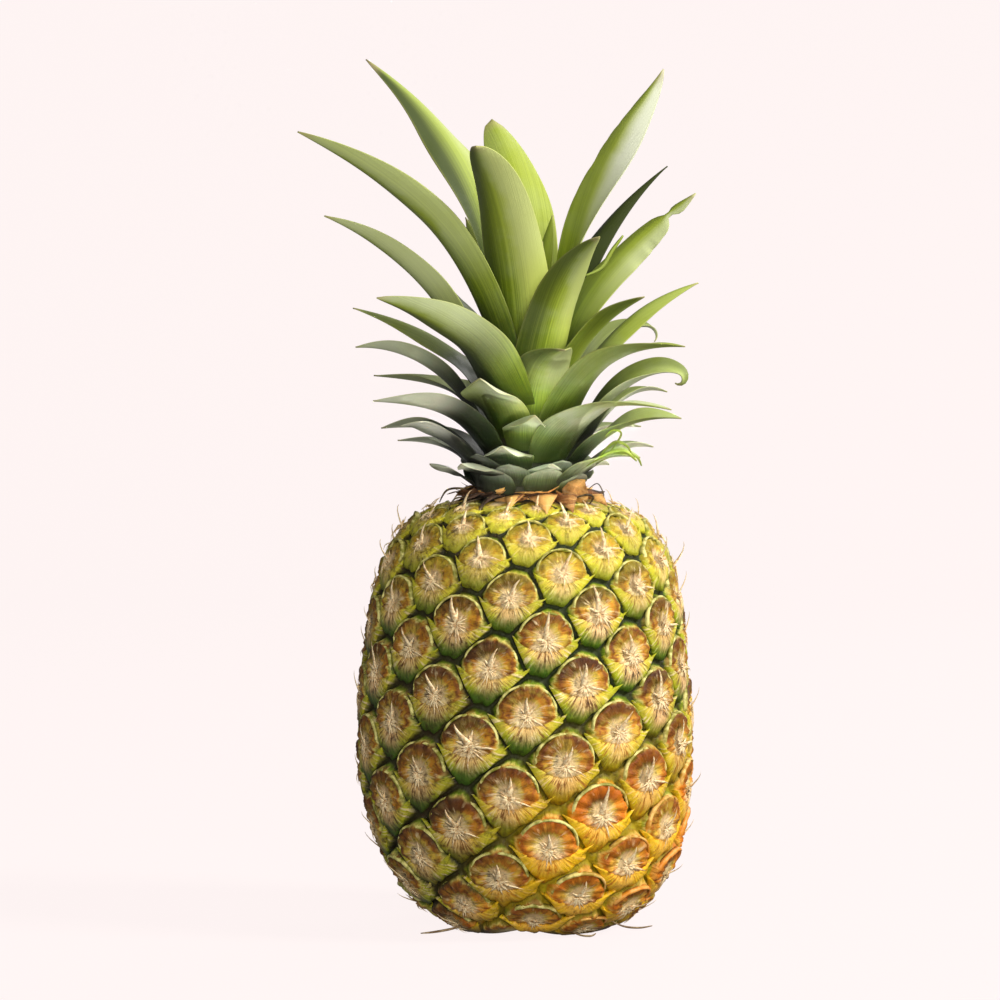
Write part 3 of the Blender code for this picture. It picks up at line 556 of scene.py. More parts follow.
def eye_colour(finish, on_bract):
    """Base colour and bump height of an eye, by its place on the eye, of its bract or of the rest, with
    painted shade on the fruit's left side, a painted shadow of each withered flower and a painted shadow
    round the fruit's foot.
    """
    across, up, _ = finish.parts(finish.attribute("eye_at"))
    first, second, third = finish.parts(finish.attribute("eye_tone"))
    point = finish.point()
    x, _, z = finish.parts(point)
    blotch = finish.noise(point, 60.0, 3.0)
    grain = finish.noise(point, 420.0, 4.0, 0.65)
    wide, tall = across / DISC_WIDE, (up - DISC_UP) / DISC_TALL
    out = (wide * wide + tall * tall).power(0.5)
    angle = out.calc("ARCTAN2", wide, tall)
    streak = finish.noise(finish.vector(angle * 1.7, out * 0.8, first * 30.0), 1.7, 5.0, 0.66)
    ripe = (x - z * 0.5 + blotch * 0.07).between(-0.024, 0.028) * z.between(0.10, 0.03)
    # Painted shade: the fruit's left side, away from the key light, is dulled, darkened in its grain and
    # blackened in its grooves
    shade = (blotch * 0.03 - x).between(0.010, 0.060)
    unripe = (blotch * 0.04 - x + z * 0.1).between(-0.02, 0.05)

    fan = out.calc("ARCTAN2", across, 0.03 - up)
    pleat = finish.noise(finish.vector(fan * 7.0, up * 1.6, second * 20.0), 1.6, 3.0, 0.6)
    bract = finish.ramp((grain - 0.5) * 0.3 - up + abs(across) * 0.1, (
        (0.10, PALE_LIME), (0.42, PALE_YELLOW), (0.68, LIME), (0.92, MID_GREEN), (1.2, LEAF_GREEN)))
    bract = finish.mix(abs(across).between(0.45, 0.95) * 0.75, bract, LIME)
    middle = (abs(across) + (pleat - 0.5) * 0.8 - up * 0.1).between(0.62, 0.2) * up.between(-1.05, -0.68)
    bract = finish.mix(middle * (second * 0.35 + 0.6), bract, PINK_CREAM)
    bract = finish.mix(pleat.between(0.52, 0.68) * up.between(-1.1, -0.55) * 0.85, bract, CREAM)
    gap = pleat.between(0.48, 0.38) * up.between(-1.0, -0.6) * abs(across).between(0.85, 0.4)
    bract = finish.mix(gap * 0.9, bract, finish.mix(second, BROWN_AMBER, NEAR_BLACK))
    bract = finish.mix(unripe * up.between(-0.45, -0.95) * 0.75, bract, LEAF_GREEN)
    bract = finish.mix(pleat.between(0.56, 0.44) * up.between(-0.6, -0.9) * 0.6, bract, LEAF_GREEN)
    bract = finish.mix(z.between(0.115, 0.16) * 0.6, bract, TOP_YELLOW)
    ripe_bract = finish.mix(pleat.between(0.25, 0.5), RIPE_ORANGE, RIPE_YELLOW)
    bract = finish.mix(ripe * (0.45 + pleat * 0.5), bract, ripe_bract)
    if on_bract:
        base = bract
    else:
        disc = finish.ramp(out + (streak - 0.5) * 0.62, (
            (0.0, CREAM), (0.24, PINK_CREAM), (0.40, PALE_YELLOW), (0.52, AMBER), (0.68, MUSTARD),
            (0.78, BROWN_AMBER), (0.87, MUSTARD), (0.95, PALE_RIM), (1.05, MID_GREEN), (1.18, GROOVE_GREEN)))
        side = finish.noise(finish.vector(across, up, second * 13.0), 2.4, 1.0)
        disc = finish.mix(side.between(0.5, 0.62) * out.between(0.95, 0.6) * 0.8, disc, PALE_YELLOW)
        disc = finish.mix(side.between(0.46, 0.34) * out.between(0.2, 0.6) * 0.6, disc, BROWN_AMBER)
        # Painted shadow of the withered flower: a dark patch over the top of the disc, stronger on some eyes
        # than on others
        top = (up - across * 0.3 + (streak - 0.5) * 0.7).between(0.2, 0.5)
        disc = finish.mix(top * out.between(0.98, 0.84) * (first * 0.5 + 0.4), disc, DARK_BROWN)
        dark_streak = streak.between(0.46, 0.3) * out.between(0.3, 0.6) * out.between(1.0, 0.86)
        disc = finish.mix(dark_streak, disc, BROWN_AMBER)
        spot = abs(across + 0.2 + (third - 0.5) * 0.14)
        slit = (spot + abs(up + 0.02) * 0.55 + (grain - 0.5) * 0.24).between(0.2, 0.09)
        disc = finish.mix(slit * third.between(0.15, 0.3), disc, NEAR_BLACK)
        heart = (abs(across) + abs(up + 0.15) * 0.4 + (pleat - 0.5) * 0.9).between(0.60, 0.24)
        disc = finish.mix(heart * up.between(0.5, 0.12) * 0.9, disc, CREAM)
        disc = finish.mix(streak.between(0.55, 0.68) * out.between(1.0, 0.5) * 0.7, disc, CREAM)
        disc = finish.mix(z.between(0.12, 0.16) * out.between(0.3, 0.7) * 0.4, disc, TOP_YELLOW)
        disc = finish.mix(ripe * out.between(0.3, 0.8) * (first * 0.7 + 0.1), disc, RIPE_ORANGE)
        base = finish.mix((smile_value(across) - up).between(-0.04, 0.02), disc, bract)
        near, _, _ = finish.parts(finish.attribute("groove_near"))
        crack = (near + (grain - 0.5) * 0.06).between(0.11, 0.04)
        corner = crack.calc("MAXIMUM", crack, out.between(1.04, 1.14))
        corner = corner * (smile_value(across) - up).between(0.0, -0.04)
        base = finish.mix(corner, base, finish.mix(near.between(0.06, 0.2), GROOVE_GREEN, MID_GREEN))
        base = finish.mix(corner * ripe * 0.8, base, RIPE_GROOVE)
        base = finish.mix(crack, base, finish.mix(ripe * 0.7, GROOVE_GREEN, RIPE_GROOVE))
        # Painted shadow in the grooves on the fruit's left side
        base = finish.mix(shade * near.between(0.2, 0.08) * 0.6, base, NEAR_BLACK)
    # Painted shade dulls the colours on the fruit's left side
    base = finish.mix(shade * 0.3, base, finish.mix(0.6, base, SHADED_OLIVE))
    aged = (third + blotch - 0.9).between(0.0, 0.5) * 0.35
    base = finish.mix(aged, base, finish.mix(0.5, base, DARK_BROWN))
    mottle = (grain * 1.3 + streak * 0.5 - 0.15).between(0.3, 0.8)
    base = finish.mix(0.72, base, finish.ramp(mottle, ((0.0, GREY), (1.0, WHITE))), "MULTIPLY")
    # Painted shade darkens the grain on the fruit's left side
    base = finish.mix(shade * (1.0 - mottle) * 0.95, base, DARK_BROWN)
    # Painted contact shadow: a near-black band round the very foot of the fruit
    base = finish.mix(z.between(0.0045, 0.0005) * 0.85, base, NEAR_BLACK)
    height = grain * 0.6 + streak + pleat * 0.8
    return base, height


def smile_value(across):
    """The upper edge of a bract, as a shader value."""
    return (abs(across) / WING_OUT).power(SMILE_POWER) * (WING_UP - SMILE_LOW) + SMILE_LOW


def rind_finish(name, on_bract):
    finish = Finish(name, 0.55, {
        "Subsurface Weight": 0.04, "Subsurface Radius": (0.003, 0.002, 0.001), "Specular IOR Level": 0.25})
    base, height = eye_colour(finish, on_bract)
    return finish.surface(base, None, finish.bump(height, 0.0009, 0.8))


def paper_finish():
    """The cream-white papery spikes and the pale strands at their roots."""
    finish = Finish("papery_spike", 0.6, {"Subsurface Weight": 0.1})
    point = finish.point()
    along, _, _ = finish.parts(finish.attribute("eye_at"))
    fibre = finish.noise(point, 900.0, 3.0)
    base = finish.mix(fibre.between(0.3, 0.6), PAPER_BROWN, PAPER_CREAM)
    base = finish.mix(along.between(0.72, 1.0) * 0.5, base, PAPER_TIP)
    return finish.surface(base, None, finish.bump(fibre, 0.0003, 0.5))


def rim_finish():
    """The pale scalloped edge round each disc."""
    finish = Finish("disc_rim", 0.55)
    point = finish.point()
    x, _, z = finish.parts(point)
    grain = finish.noise(point, 380.0, 3.0)
    base = finish.mix(grain.between(0.35, 0.65), RIM_OLIVE, RIM_CREAM)
    ripe = (x - z * 0.5).between(-0.01, 0.04) * z.between(0.1, 0.03)
    base = finish.mix(ripe * 0.7, base, RIPE_ORANGE)
    return finish.surface(base)


def leaf_finish(name):
    """A leaf: lengthwise fibres, a waxy bloom that is partly painted light, painted shade on its left half,
    at its root and over leaves in shadow, painted light and a painted backlit sheen on its right half, and a
    dry tip.
    """
    finish = Finish(name, 0.5, {"Specular IOR Level": 0.35})
    across, along, half = finish.parts(finish.attribute("leaf_at"))
    age, own, mark = finish.parts(finish.attribute("leaf_tone"))
    left, right, backlit_sheen = finish.parts(finish.attribute("leaf_paint"))
    point = finish.point()
    x, _, z = finish.parts(point)
    grown = age.between(0.1, 0.75)
    outer = half.between(0.0, -0.2)
    fibre = finish.noise(finish.vector(across * half * 30.0, along * 1.2, own * 40.0), 1.0, 3.0, 0.65)
    cloud = finish.noise(point, 45.0, 4.0, 0.6)
    fresh, light = finish.mix(grown, *LEAF_FRESH), finish.mix(grown, *LEAF_LIGHT)
    base = finish.mix(fibre.between(0.3, 0.72), fresh, light)
    # Pale over the middle of the leaf: partly the leaves' waxy bloom, partly painted light on the low
    # leaves; less pale on the right, where the lamps light the leaves
    sunny = x.between(0.0, 0.045)
    pale = finish.mix(grown, finish.mix(sunny, LEAF_PALE[0], LEAF_PALE_IN_SUN), LEAF_PALE[1])
    base = finish.mix(along.between(0.2, 0.6) * (0.9 - grown * 0.5), base, pale)
    bloom = (cloud * 1.3 + fibre * 0.3).between(0.66, 0.94)
    powder = bloom * (0.6 - grown * 0.5) * along.between(0.15, 0.4) * (1.0 - sunny * 0.6)
    base = finish.mix(powder, base, LEAF_BLOOM)
    # Painted shade on the left half of each leaf and painted light on its right half, as light from the
    # right falls on a folded leaf
    shaded = (across + (fibre - 0.5) * 0.3).between(0.05, -0.7)
    base = finish.mix(shaded * left, base, LEAF_SHADE)
    lit = (across + (fibre - 0.5) * 0.4).between(-0.25, 0.55) * along.between(0.12, 0.4)
    base = finish.mix(lit * right, base, finish.mix(grown, *LEAF_LIT))
    # A whitish band along the middle of the outer face: partly waxy bloom, partly painted light on the low
    # leaves' outer faces
    wax_and_light = (across + (cloud - 0.5) * 1.6).between(-0.3, 0.3) * along.between(0.3, 0.55) * outer
    base = finish.mix(wax_and_light * (0.75 - grown * 0.6), base, LEAF_WAX_AND_LIGHT)
    # Painted backlit sheen: a whitish haze over the right half of leaves that the light shines through from
    # behind
    clouded = (across + (cloud - 0.5) * 0.5).between(0.0, 0.7) * along.between(0.3, 0.75)
    base = finish.mix(clouded * backlit_sheen, base, LEAF_BACKLIT_SHEEN)
    base = finish.mix(abs(across).between(0.93, 1.0) * 0.25, base, LEAF_EDGE)
    base = finish.mix((along + (cloud - 0.5) * 0.12).between(0.95, 1.0) * 0.5, base, LEAF_DRY_TIP)
    # Painted shade at each leaf's root, where the leaves crowd, reaching further up the low leaves and most
    # on the left
    root = finish.mix(grown, *LEAF_ROOT_SHADE)
    deeper_root_shade = (x * -1.0).between(-0.004, 0.03) * z.between(0.26, 0.21) * 0.26 - outer * 0.05
    deeper_root_shade = deeper_root_shade + x.between(0.0, 0.03) * z.between(0.26, 0.22) * 0.16
    base = finish.mix((along - deeper_root_shade + (cloud - 0.5) * 0.2).between(0.34, 0.08) * 0.95, base, root)
    # Painted shade over the whole of a leaf that lies in the shadow of others, by its mark
    base = finish.mix(mark.between(0.4, 0.0) * 0.93, base, LEAF_IN_SHADOW)
    # Painted shade on the outer faces of the low leaves on the left, which turn away from the light
    under = (x * -1.0).between(0.002, 0.026) * z.between(0.27, 0.21) * outer * along.between(0.75, 0.4)
    base = finish.mix(under * 0.9, base, LEAF_UNDERSIDE_SHADE)
    rough = fibre * 0.2 + bloom * 0.2 + 0.36
    return finish.surface(base, rough, finish.bump(fibre, 0.0003, 0.4))


def dry_finish(name, dark, pale, scale):
    """Withered tissue, from dark to pale by its grain and by the tone of each piece of it."""
    finish = Finish(name, 0.75)
    point = finish.point()
    tone, _, _ = finish.parts(finish.attribute("dry_tone"))
    grain = finish.noise(point, scale, 4.0, 0.65)
    fibre = finish.noise(finish.attribute("leaf_at"), 9.0, 3.0)
    base = finish.mix((grain + tone - 0.5).between(0.3, 0.7), dark, pale)
    base = finish.mix(fibre.between(0.5, 0.75) * tone, base, DRY_FIBRE)
    base = finish.mix(tone.between(0.3, 0.0) * 0.85, base, NEAR_BLACK)
    return finish.surface(base, None, finish.bump(grain + fibre, 0.0005, 0.7))


def keep_in_box(places):
    """Points in metres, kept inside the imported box."""
    low, high = (np.array(corner) for corner in CAD_BOX)
    return np.clip(places, low, high)


def to_metres(places):
    """Bow points with the plant's axis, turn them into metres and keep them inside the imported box."""
    places = np.array(places, float)
    places[:, 0] += bow(places[:, 2])
    return keep_in_box(places * MM)


def put_attribute(mesh, name, values, domain="POINT"):
    """Three numbers for each point or corner of a mesh."""
    attribute = mesh.attributes.new(name, "FLOAT_VECTOR", domain)
    attribute.data.foreach_set("vector", np.asarray(values, np.float32).ravel())


def face_out(mesh):
    bm = bmesh.new()
    bm.from_mesh(mesh)
    bmesh.ops.recalc_face_normals(bm, faces=bm.faces)
    bm.to_mesh(mesh)
    bm.free()


def new_piece(name, places, faces, material, replaced=()):
    """A finished mesh that rides on the plant's one body."""
    mesh = bpy.data.meshes.new(name)
    mesh.from_pydata(to_metres(places).tolist(), [], faces)
    mesh.materials.append(material)
    face_out(mesh)
    mesh.shade_smooth()
    return ride(bpy.data.objects.new(name, mesh), replaced)


def ride(piece, replaced=()):
    bpy.context.scene.collection.objects.link(piece)
    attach(piece, "root")
    if replaced:
        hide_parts(*replaced)
    return piece


def bract_height(across, up):
    """Height of a bract over the fruit's outline, in mm for a full-grown eye."""
    lobes = 0.25 * np.cos(across * 11.0) * smooth((-up - 0.5) / 0.4)
    return 1.3 - 1.0 * (np.abs(across) / WING_OUT) ** 2.2 - 1.7 * smooth((-up - 0.62) / 0.5) + lobes


def smile_at(across):
    return SMILE_LOW + (WING_UP - SMILE_LOW) * (np.abs(across) / WING_OUT) ** SMILE_POWER


def eye_relief(across, up, near, tone):
    """Height over the fruit's outline in mm for a full-grown eye, near being the way to its groove."""
    wide, tall = across / DISC_WIDE, (up - DISC_UP) / DISC_TALL
    out, angle = np.hypot(wide, tall), np.arctan2(wide, tall)
    disc = np.interp(out, *zip(*DISC_PROFILE))
    phase = 9.0 * tone[..., 0] + 1.4 * np.sin(3.0 * angle + 7.0 * tone[..., 1])
    folds = np.sin(13.0 * angle + phase) * smooth((out - 0.2) / 0.3) * smooth((1.05 - out) / 0.2)
    disc = disc + 0.5 * folds - 1.2 * hill(across + 0.18, 0.0, 0.1) * hill(up, -0.02, 0.12)
    bract = bract_height(across, up) - 0.9
    share = smooth((smile_at(across) - up) / 0.1 + 0.5)
    height = disc * (1.0 - share) + bract * share
    return GROOVE_DEPTH + (height - GROOVE_DEPTH) * smooth((near - 0.01) / GROOVE_HALF)


def nearest_eyes(turn, u, eyes):
    """For points on the map: which eye each belongs to, its place on that eye and its way to the groove."""
    apart_turn = wrap(eyes[:, None, 0] - eyes[None, :, 0])
    apart = np.hypot(apart_turn, eyes[:, None, 1] - eyes[None, :, 1]) + np.eye(len(eyes)) * FAR
    scale = eyes[:, 2] / eyes[:, 3]
    owner = np.empty(turn.shape, int)
    across, up, near = np.empty(turn.shape), np.empty(turn.shape), np.empty(turn.shape)
    for row in range(turn.shape[0]):
        dt = wrap(turn[row][:, None] - eyes[None, :, 0])
        du = u[row][:, None] - eyes[None, :, 1]
        square = dt * dt + du * du
        best = np.argmin(square, axis=1)
        own = np.arange(len(best))
        ways = (square - square[own, best][:, None]) / (2.0 * apart[best])
        ways[own, best] = FAR
        owner[row] = best
        across[row], up[row] = dt[own, best] * scale[best], du[own, best] * scale[best]
        near[row] = ways.min(axis=1) * scale[best]
    return owner, across, up, near


def ring_round(turns, radius, height):
    """Points on a level ring round the Z axis."""
    return np.stack((radius * np.sin(turns), -radius * np.cos(turns), np.full_like(turns, height)), -1)


def fruit_skin(barrel, eyes, tones):
    """The rind, one closed skin from the stalk's recess round the eyes to the crown's seat."""
    steps = np.arange(SKIN_COLUMNS) / SKIN_COLUMNS * 2.0 * math.pi - math.pi
    levels = barrel.u_at(np.linspace(0.0, barrel.s[-1], SKIN_ROWS))
    turn, u = np.meshgrid(steps, levels)
    owner, across, up, near = nearest_eyes(turn, u, eyes)
    size = eyes[owner, 3] / FULL_EYE
    relief = eye_relief(across, up, near, tones[owner]) * size * barrel.fade(u)
    places = barrel.place(turn, u, relief)
    arch = ARCH_RISE * hill(places[..., 0], ARCH_AT, ARCH_WIDTH) * (places[..., 1] < 0.0)
    places[..., 2] = np.maximum(places[..., 2] + arch * smooth(1.0 - places[..., 2] / ARCH_FADES), 0.0)
    recess = [ring_round(steps, STALK_RADIUS + GAP, height) for height in (STALK_HEIGHT + GAP, 0.0)]
    seat = [ring_round(steps, radius, height) for radius, height in NECK_SEAT]
    rings = recess + list(places) + seat
    points = np.concatenate(rings)
    faces = []
    corner_eye = []
    n = SKIN_COLUMNS
    for ring in range(len(rings) - 1):
        row = min(max(ring - len(recess), 0), SKIN_ROWS - 1)
        low, high = ring * n, (ring + 1) * n
        for column in range(n):
            after = (column + 1) % n
            faces.append((low + column, low + after, high + after, high + column))
            corner_eye.append(owner[row, column])
    faces.append(tuple(range(n))[::-1])
    faces.append(tuple(range(len(points) - n, len(points))))
    piece = new_piece("fruit_skin", points, faces, rind_finish("rind", False), ("fruit",))
    mesh = piece.data
    before, behind = len(recess) * n, len(seat) * n
    everywhere = np.concatenate((np.zeros(before), near.ravel(), np.zeros(behind)))
    put_attribute(mesh, "groove_near", np.stack((everywhere,) * 3, -1))
    turn_all = np.concatenate([steps] * len(recess) + [turn.ravel()] + [steps] * len(seat))
    u_all = np.concatenate((np.full(before, levels[0]), u.ravel(), np.full(behind, levels[-1])))
    eye_of_face = np.array(corner_eye + [0, 0])
    loop_vertex = np.empty(len(mesh.loops), int)
    mesh.loops.foreach_get("vertex_index", loop_vertex)
    totals = np.empty(len(mesh.polygons), int)
    mesh.polygons.foreach_get("loop_total", totals)
    eye = np.repeat(eye_of_face, totals)
    scale = eyes[eye, 2] / eyes[eye, 3]
    across_eye = wrap(turn_all[loop_vertex] - eyes[eye, 0]) * scale
    up_eye = (u_all[loop_vertex] - eyes[eye, 1]) * scale
    at = np.stack((across_eye, up_eye, np.zeros(len(eye))), -1)
    put_attribute(mesh, "eye_at", at, "CORNER")
    put_attribute(mesh, "eye_tone", tones[eye], "CORNER")


def shape_object(name, places, faces, at):
    """A small shape in mm round the root of a spike: X to its right, Y up the fruit and Z out of it."""
    mesh = bpy.data.meshes.new(name)
    mesh.from_pydata(places, [], faces)
    put_attribute(mesh, "eye_at", at)
    mesh.shade_smooth()
    face_out(mesh)
    return bpy.data.objects.new(name, mesh)


def sagging(x, y):
    """How far the fruit's round side falls away from the plane that touches it at an eye's middle."""
    return -(x * x / ROUND_ACROSS + y * y / ROUND_UP) / 2.0


def shell_border(columns, rows):
    """The points along the edge of a grid of points, in order."""
    border = list(range(columns)) + [columns * (j + 1) - 1 for j in range(1, rows)]
    border += [columns * (rows - 1) + i for i in range(columns - 2, -1, -1)]
    return border + [columns * j for j in range(rows - 2, 0, -1)]


def on_fruit(barrel, eyes):
    """Which eyes lie on the fruit and are wider than the smallest that is dressed."""
    return (eyes[:, 3] > SMALLEST_EYE) & (eyes[:, 1] > barrel.u[0]) & (eyes[:, 1] < barrel.u[-1])


def eye_bracts(barrel, eyes, tones):
    """A shield under each disc, with two wings and a foot of three lobes along its own eye's groove."""
    rng = np.random.default_rng(BRACT_SEED)
    w = np.linspace(-1.0, 1.0, BRACT_COLUMNS)
    share = np.linspace(0.0, 1.0, BRACT_ROWS)[:, None]
    border = shell_border(BRACT_COLUMNS, BRACT_ROWS)
    places, faces, at, tone = [], [], [], []
    for i in np.flatnonzero(on_fruit(barrel, eyes)):
        turn, u, radius, half = eyes[i]
        scale = radius / half
        dx, dy = wrap(eyes[:, 0] - turn) * scale, (eyes[:, 1] - u) * scale
        apart = np.hypot(dx, dy)
        below = (dy < -0.15) & (apart < 4.0)
        nx, ny = dx[below] / apart[below], dy[below] / apart[below]
        reach = apart[below] / 2.0 - BRACT_MARGIN
        left, right = WING_OUT + rng.uniform(-0.08, 0.08), WING_OUT + 0.32 * rng.uniform() ** 2
        rise = WING_UP + rng.uniform(-0.08, 0.10)
        across = np.where(w < 0.0, w * left, w * right)
        outer = np.where(w < 0.0, left, right)
        smile = SMILE_LOW + (rise - SMILE_LOW) * np.abs(w) ** SMILE_POWER
        uneven = rng.uniform(-0.04, 0.04, BRACT_COLUMNS) * (1.0 - np.abs(w))
        smile = smile + 0.04 * np.sin(7.0 * w + i) + uneven
        inner = np.clip(across, -WING_ROOT, WING_ROOT)
        foot = ((nx[:, None] * inner - reach[:, None]) / -ny[:, None]).max(axis=0)
        wing = np.maximum(0.0, (np.abs(across) - WING_ROOT) / (outer - WING_ROOT))
        foot = foot + (rise - foot) * wing + 0.09 * hill(np.abs(across), 0.27, 0.08) * rng.uniform(0.4, 1.4)
        foot = np.minimum(np.maximum(foot, -1.3), smile - 0.02)
        up = smile + (foot - smile) * share
        side = np.broadcast_to(across, up.shape)
        sunk = 0.95 * (1.0 - share) ** 2 * hill(np.abs(w), 0.0, 0.5)
        raised = bract_height(side, up) + 0.2 * (1.0 - share) - 0.5 * share ** 2 - sunk
        raised = raised + 0.25 * np.sin(across * 14.0 + i) * share * (1.0 - np.abs(w))
        size = half / FULL_EYE * float(barrel.fade(np.array([u]))[0])
        grid = np.stack((side.ravel(), up.ravel(), raised.ravel()), -1)
        under = grid[border] * (0.95, 0.95, 1.0) - (0.0, 0.02, 1.8)
        every = np.concatenate((grid, under))
        first = len(places)
        map_turn, map_height = turn + every[:, 0] / scale, u + every[:, 1] / scale
        places += barrel.place(map_turn, map_height, every[:, 2] * size).tolist()
        at += (every * (1.0, 1.0, 0.0)).tolist()
        tone += [tuple(tones[i])] * len(every)
        for j in range(BRACT_ROWS - 1):
            for k in range(BRACT_COLUMNS - 1):
                a = first + j * BRACT_COLUMNS + k
                faces.append((a, a + 1, a + BRACT_COLUMNS + 1, a + BRACT_COLUMNS))
        lower = first + len(grid)
        for k, here in enumerate(border):
            after = (k + 1) % len(border)
            faces.append((first + here, lower + k, lower + after, first + border[after]))
        faces.append(tuple(range(lower, lower + len(border))))
    piece = new_piece("eye_bracts", places, faces, rind_finish("bract", True))
    put_attribute(piece.data, "eye_at", at)
    put_attribute(piece.data, "eye_tone", tone)


def rim_shape(name, seed):
    """The scalloped edge over the top of a disc, from one wing to the other."""
    rng = np.random.default_rng(seed)
    places, faces, at = [], [], []
    phase = rng.uniform(0.0, 6.0)
    for i in range(RIM_STEPS + 1):
        angle = math.radians(-RIM_END + 2.0 * RIM_END * i / RIM_STEPS)
        end = float(smooth(min(i, RIM_STEPS - i) / 4.0))
        notch = abs(math.sin(RIM_SCALLOPS * angle + phase)) ** 0.5 * end
        section = ((0.89, 0.3), (0.94, 0.55 + 0.45 * notch), (0.965 + 0.035 * notch, 0.2), (0.98, -1.4))
        for out, height in section:
            x = out * DISC_WIDE * math.sin(angle) * FULL_EYE
            y = (out * DISC_TALL * math.cos(angle) + DISC_UP) * FULL_EYE
            places.append((x, y, height * end - (1.0 - end) * 1.2 + float(sagging(x, y))))
            at.append((out, angle, 0.0))
    for i in range(RIM_STEPS):
        for j in range(4):
            a, b = i * 4 + j, i * 4 + (j + 1) % 4
            faces.append((a, b, b + 4, a + 4))
    faces.append((3, 2, 1, 0))
    faces.append(tuple(RIM_STEPS * 4 + j for j in range(4)))
    return shape_object(name, places, faces, at)


def add_blade(places, faces, at, path, widths, across, thick):
    """A tapered blade along a path, diamond-shaped in section, added to lists of places and faces."""
    first = len(places)
    path = [Vector(p) for p in path]
    for i, point in enumerate(path):
        heading = (path[min(i + 1, len(path) - 1)] - path[max(i - 1, 0)]).normalized()
        side = (Vector(across) - heading * heading.dot(Vector(across))).normalized()
        normal = side.cross(heading).normalized()
        half, rise = widths[i] / 2.0, thick * min(1.0, widths[i] / max(widths)) / 2.0 + 0.02
        for offset in (side * half, normal * rise, -side * half, -normal * rise):
            places.append(tuple(point + offset))
            at.append((i / (len(path) - 1), 0.0, 0.0))
    for i in range(len(path) - 1):
        for j in range(4):
            a, b = first + i * 4 + j, first + i * 4 + (j + 1) % 4
            faces.append((a, b, b + 4, a + 4))
    faces.append(tuple(first + j for j in (3, 2, 1, 0)))
    faces.append(tuple(first + (len(path) - 1) * 4 + j for j in range(4)))


def spike_shape(name, seed):
    """The papery spike of an eye, pleats that run down from its root over the bract and a few fibres."""
    rng = np.random.default_rng(seed)
    places, faces, at = [], [], []
    lean, length = rng.uniform(-SPIKE_LEAN, SPIKE_LEAN), rng.uniform(*SPIKE_LENGTH)
    lift = rng.uniform(*SPIKE_LIFT)
    path = []
    for t in (-0.14, 0.0, 0.2, 0.42, 0.64, 0.84, 1.0):
        x = length * (lean * t + 0.10 * math.sin(3.0 * t + seed) * t)
        path.append((x, length * t, 0.7 + lift * math.sin(1.4 * max(t, 0.0)) - 1.2 * max(t - 0.8, 0.0)))
    add_blade(places, faces, at, path, SPIKE_WIDTHS, (1.0, 0.1, 0.0), 0.8)
    for angle in np.linspace(-PLEAT_FAN, PLEAT_FAN, PLEATS) + rng.uniform(-0.14, 0.14, PLEATS):
        reach = rng.uniform(*PLEAT_REACH) * (1.0 - 0.25 * abs(angle))
        path = []
        for t in (0.0, 0.35, 0.7, 1.0):
            x, y = reach * t * math.sin(angle), -0.8 - reach * t * math.cos(angle)
            ground = float(bract_height(x / FULL_EYE, y / FULL_EYE)) + float(sagging(x, y))
            path.append((x, y, ground * smooth(t * 2.0) + 0.8 * (1.0 - t) + 0.25))
        across = (math.cos(angle), math.sin(angle), 0.0)
        add_blade(places, faces, at, path, PLEAT_WIDTHS, across, 0.5)
    for angle in rng.uniform(-FIBRE_FAN, FIBRE_FAN, FIBRES):
        reach = rng.uniform(*FIBRE_REACH)
        path = []
        for t in (0.0, 0.4, 0.8, 1.0):
            path.append((reach * t * math.sin(angle), reach * t * math.cos(angle), 0.9 + 0.9 * t))
        across = (math.cos(angle), -math.sin(angle), 0.0)
        add_blade(places, faces, at, path, FIBRE_WIDTHS, across, 0.5)
    if seed % 3 == 0:
        path = [(1.0, -0.5, 1.2), (4.0, -1.6, 2.1), (7.5, -2.4, 2.2), (11.0, -3.8, 1.4)]
        add_blade(places, faces, at, path, (1.0, 1.2, 0.8, 0.1), (0.2, 1.0, 0.0), 0.4)
    return shape_object(name, places, faces, at)


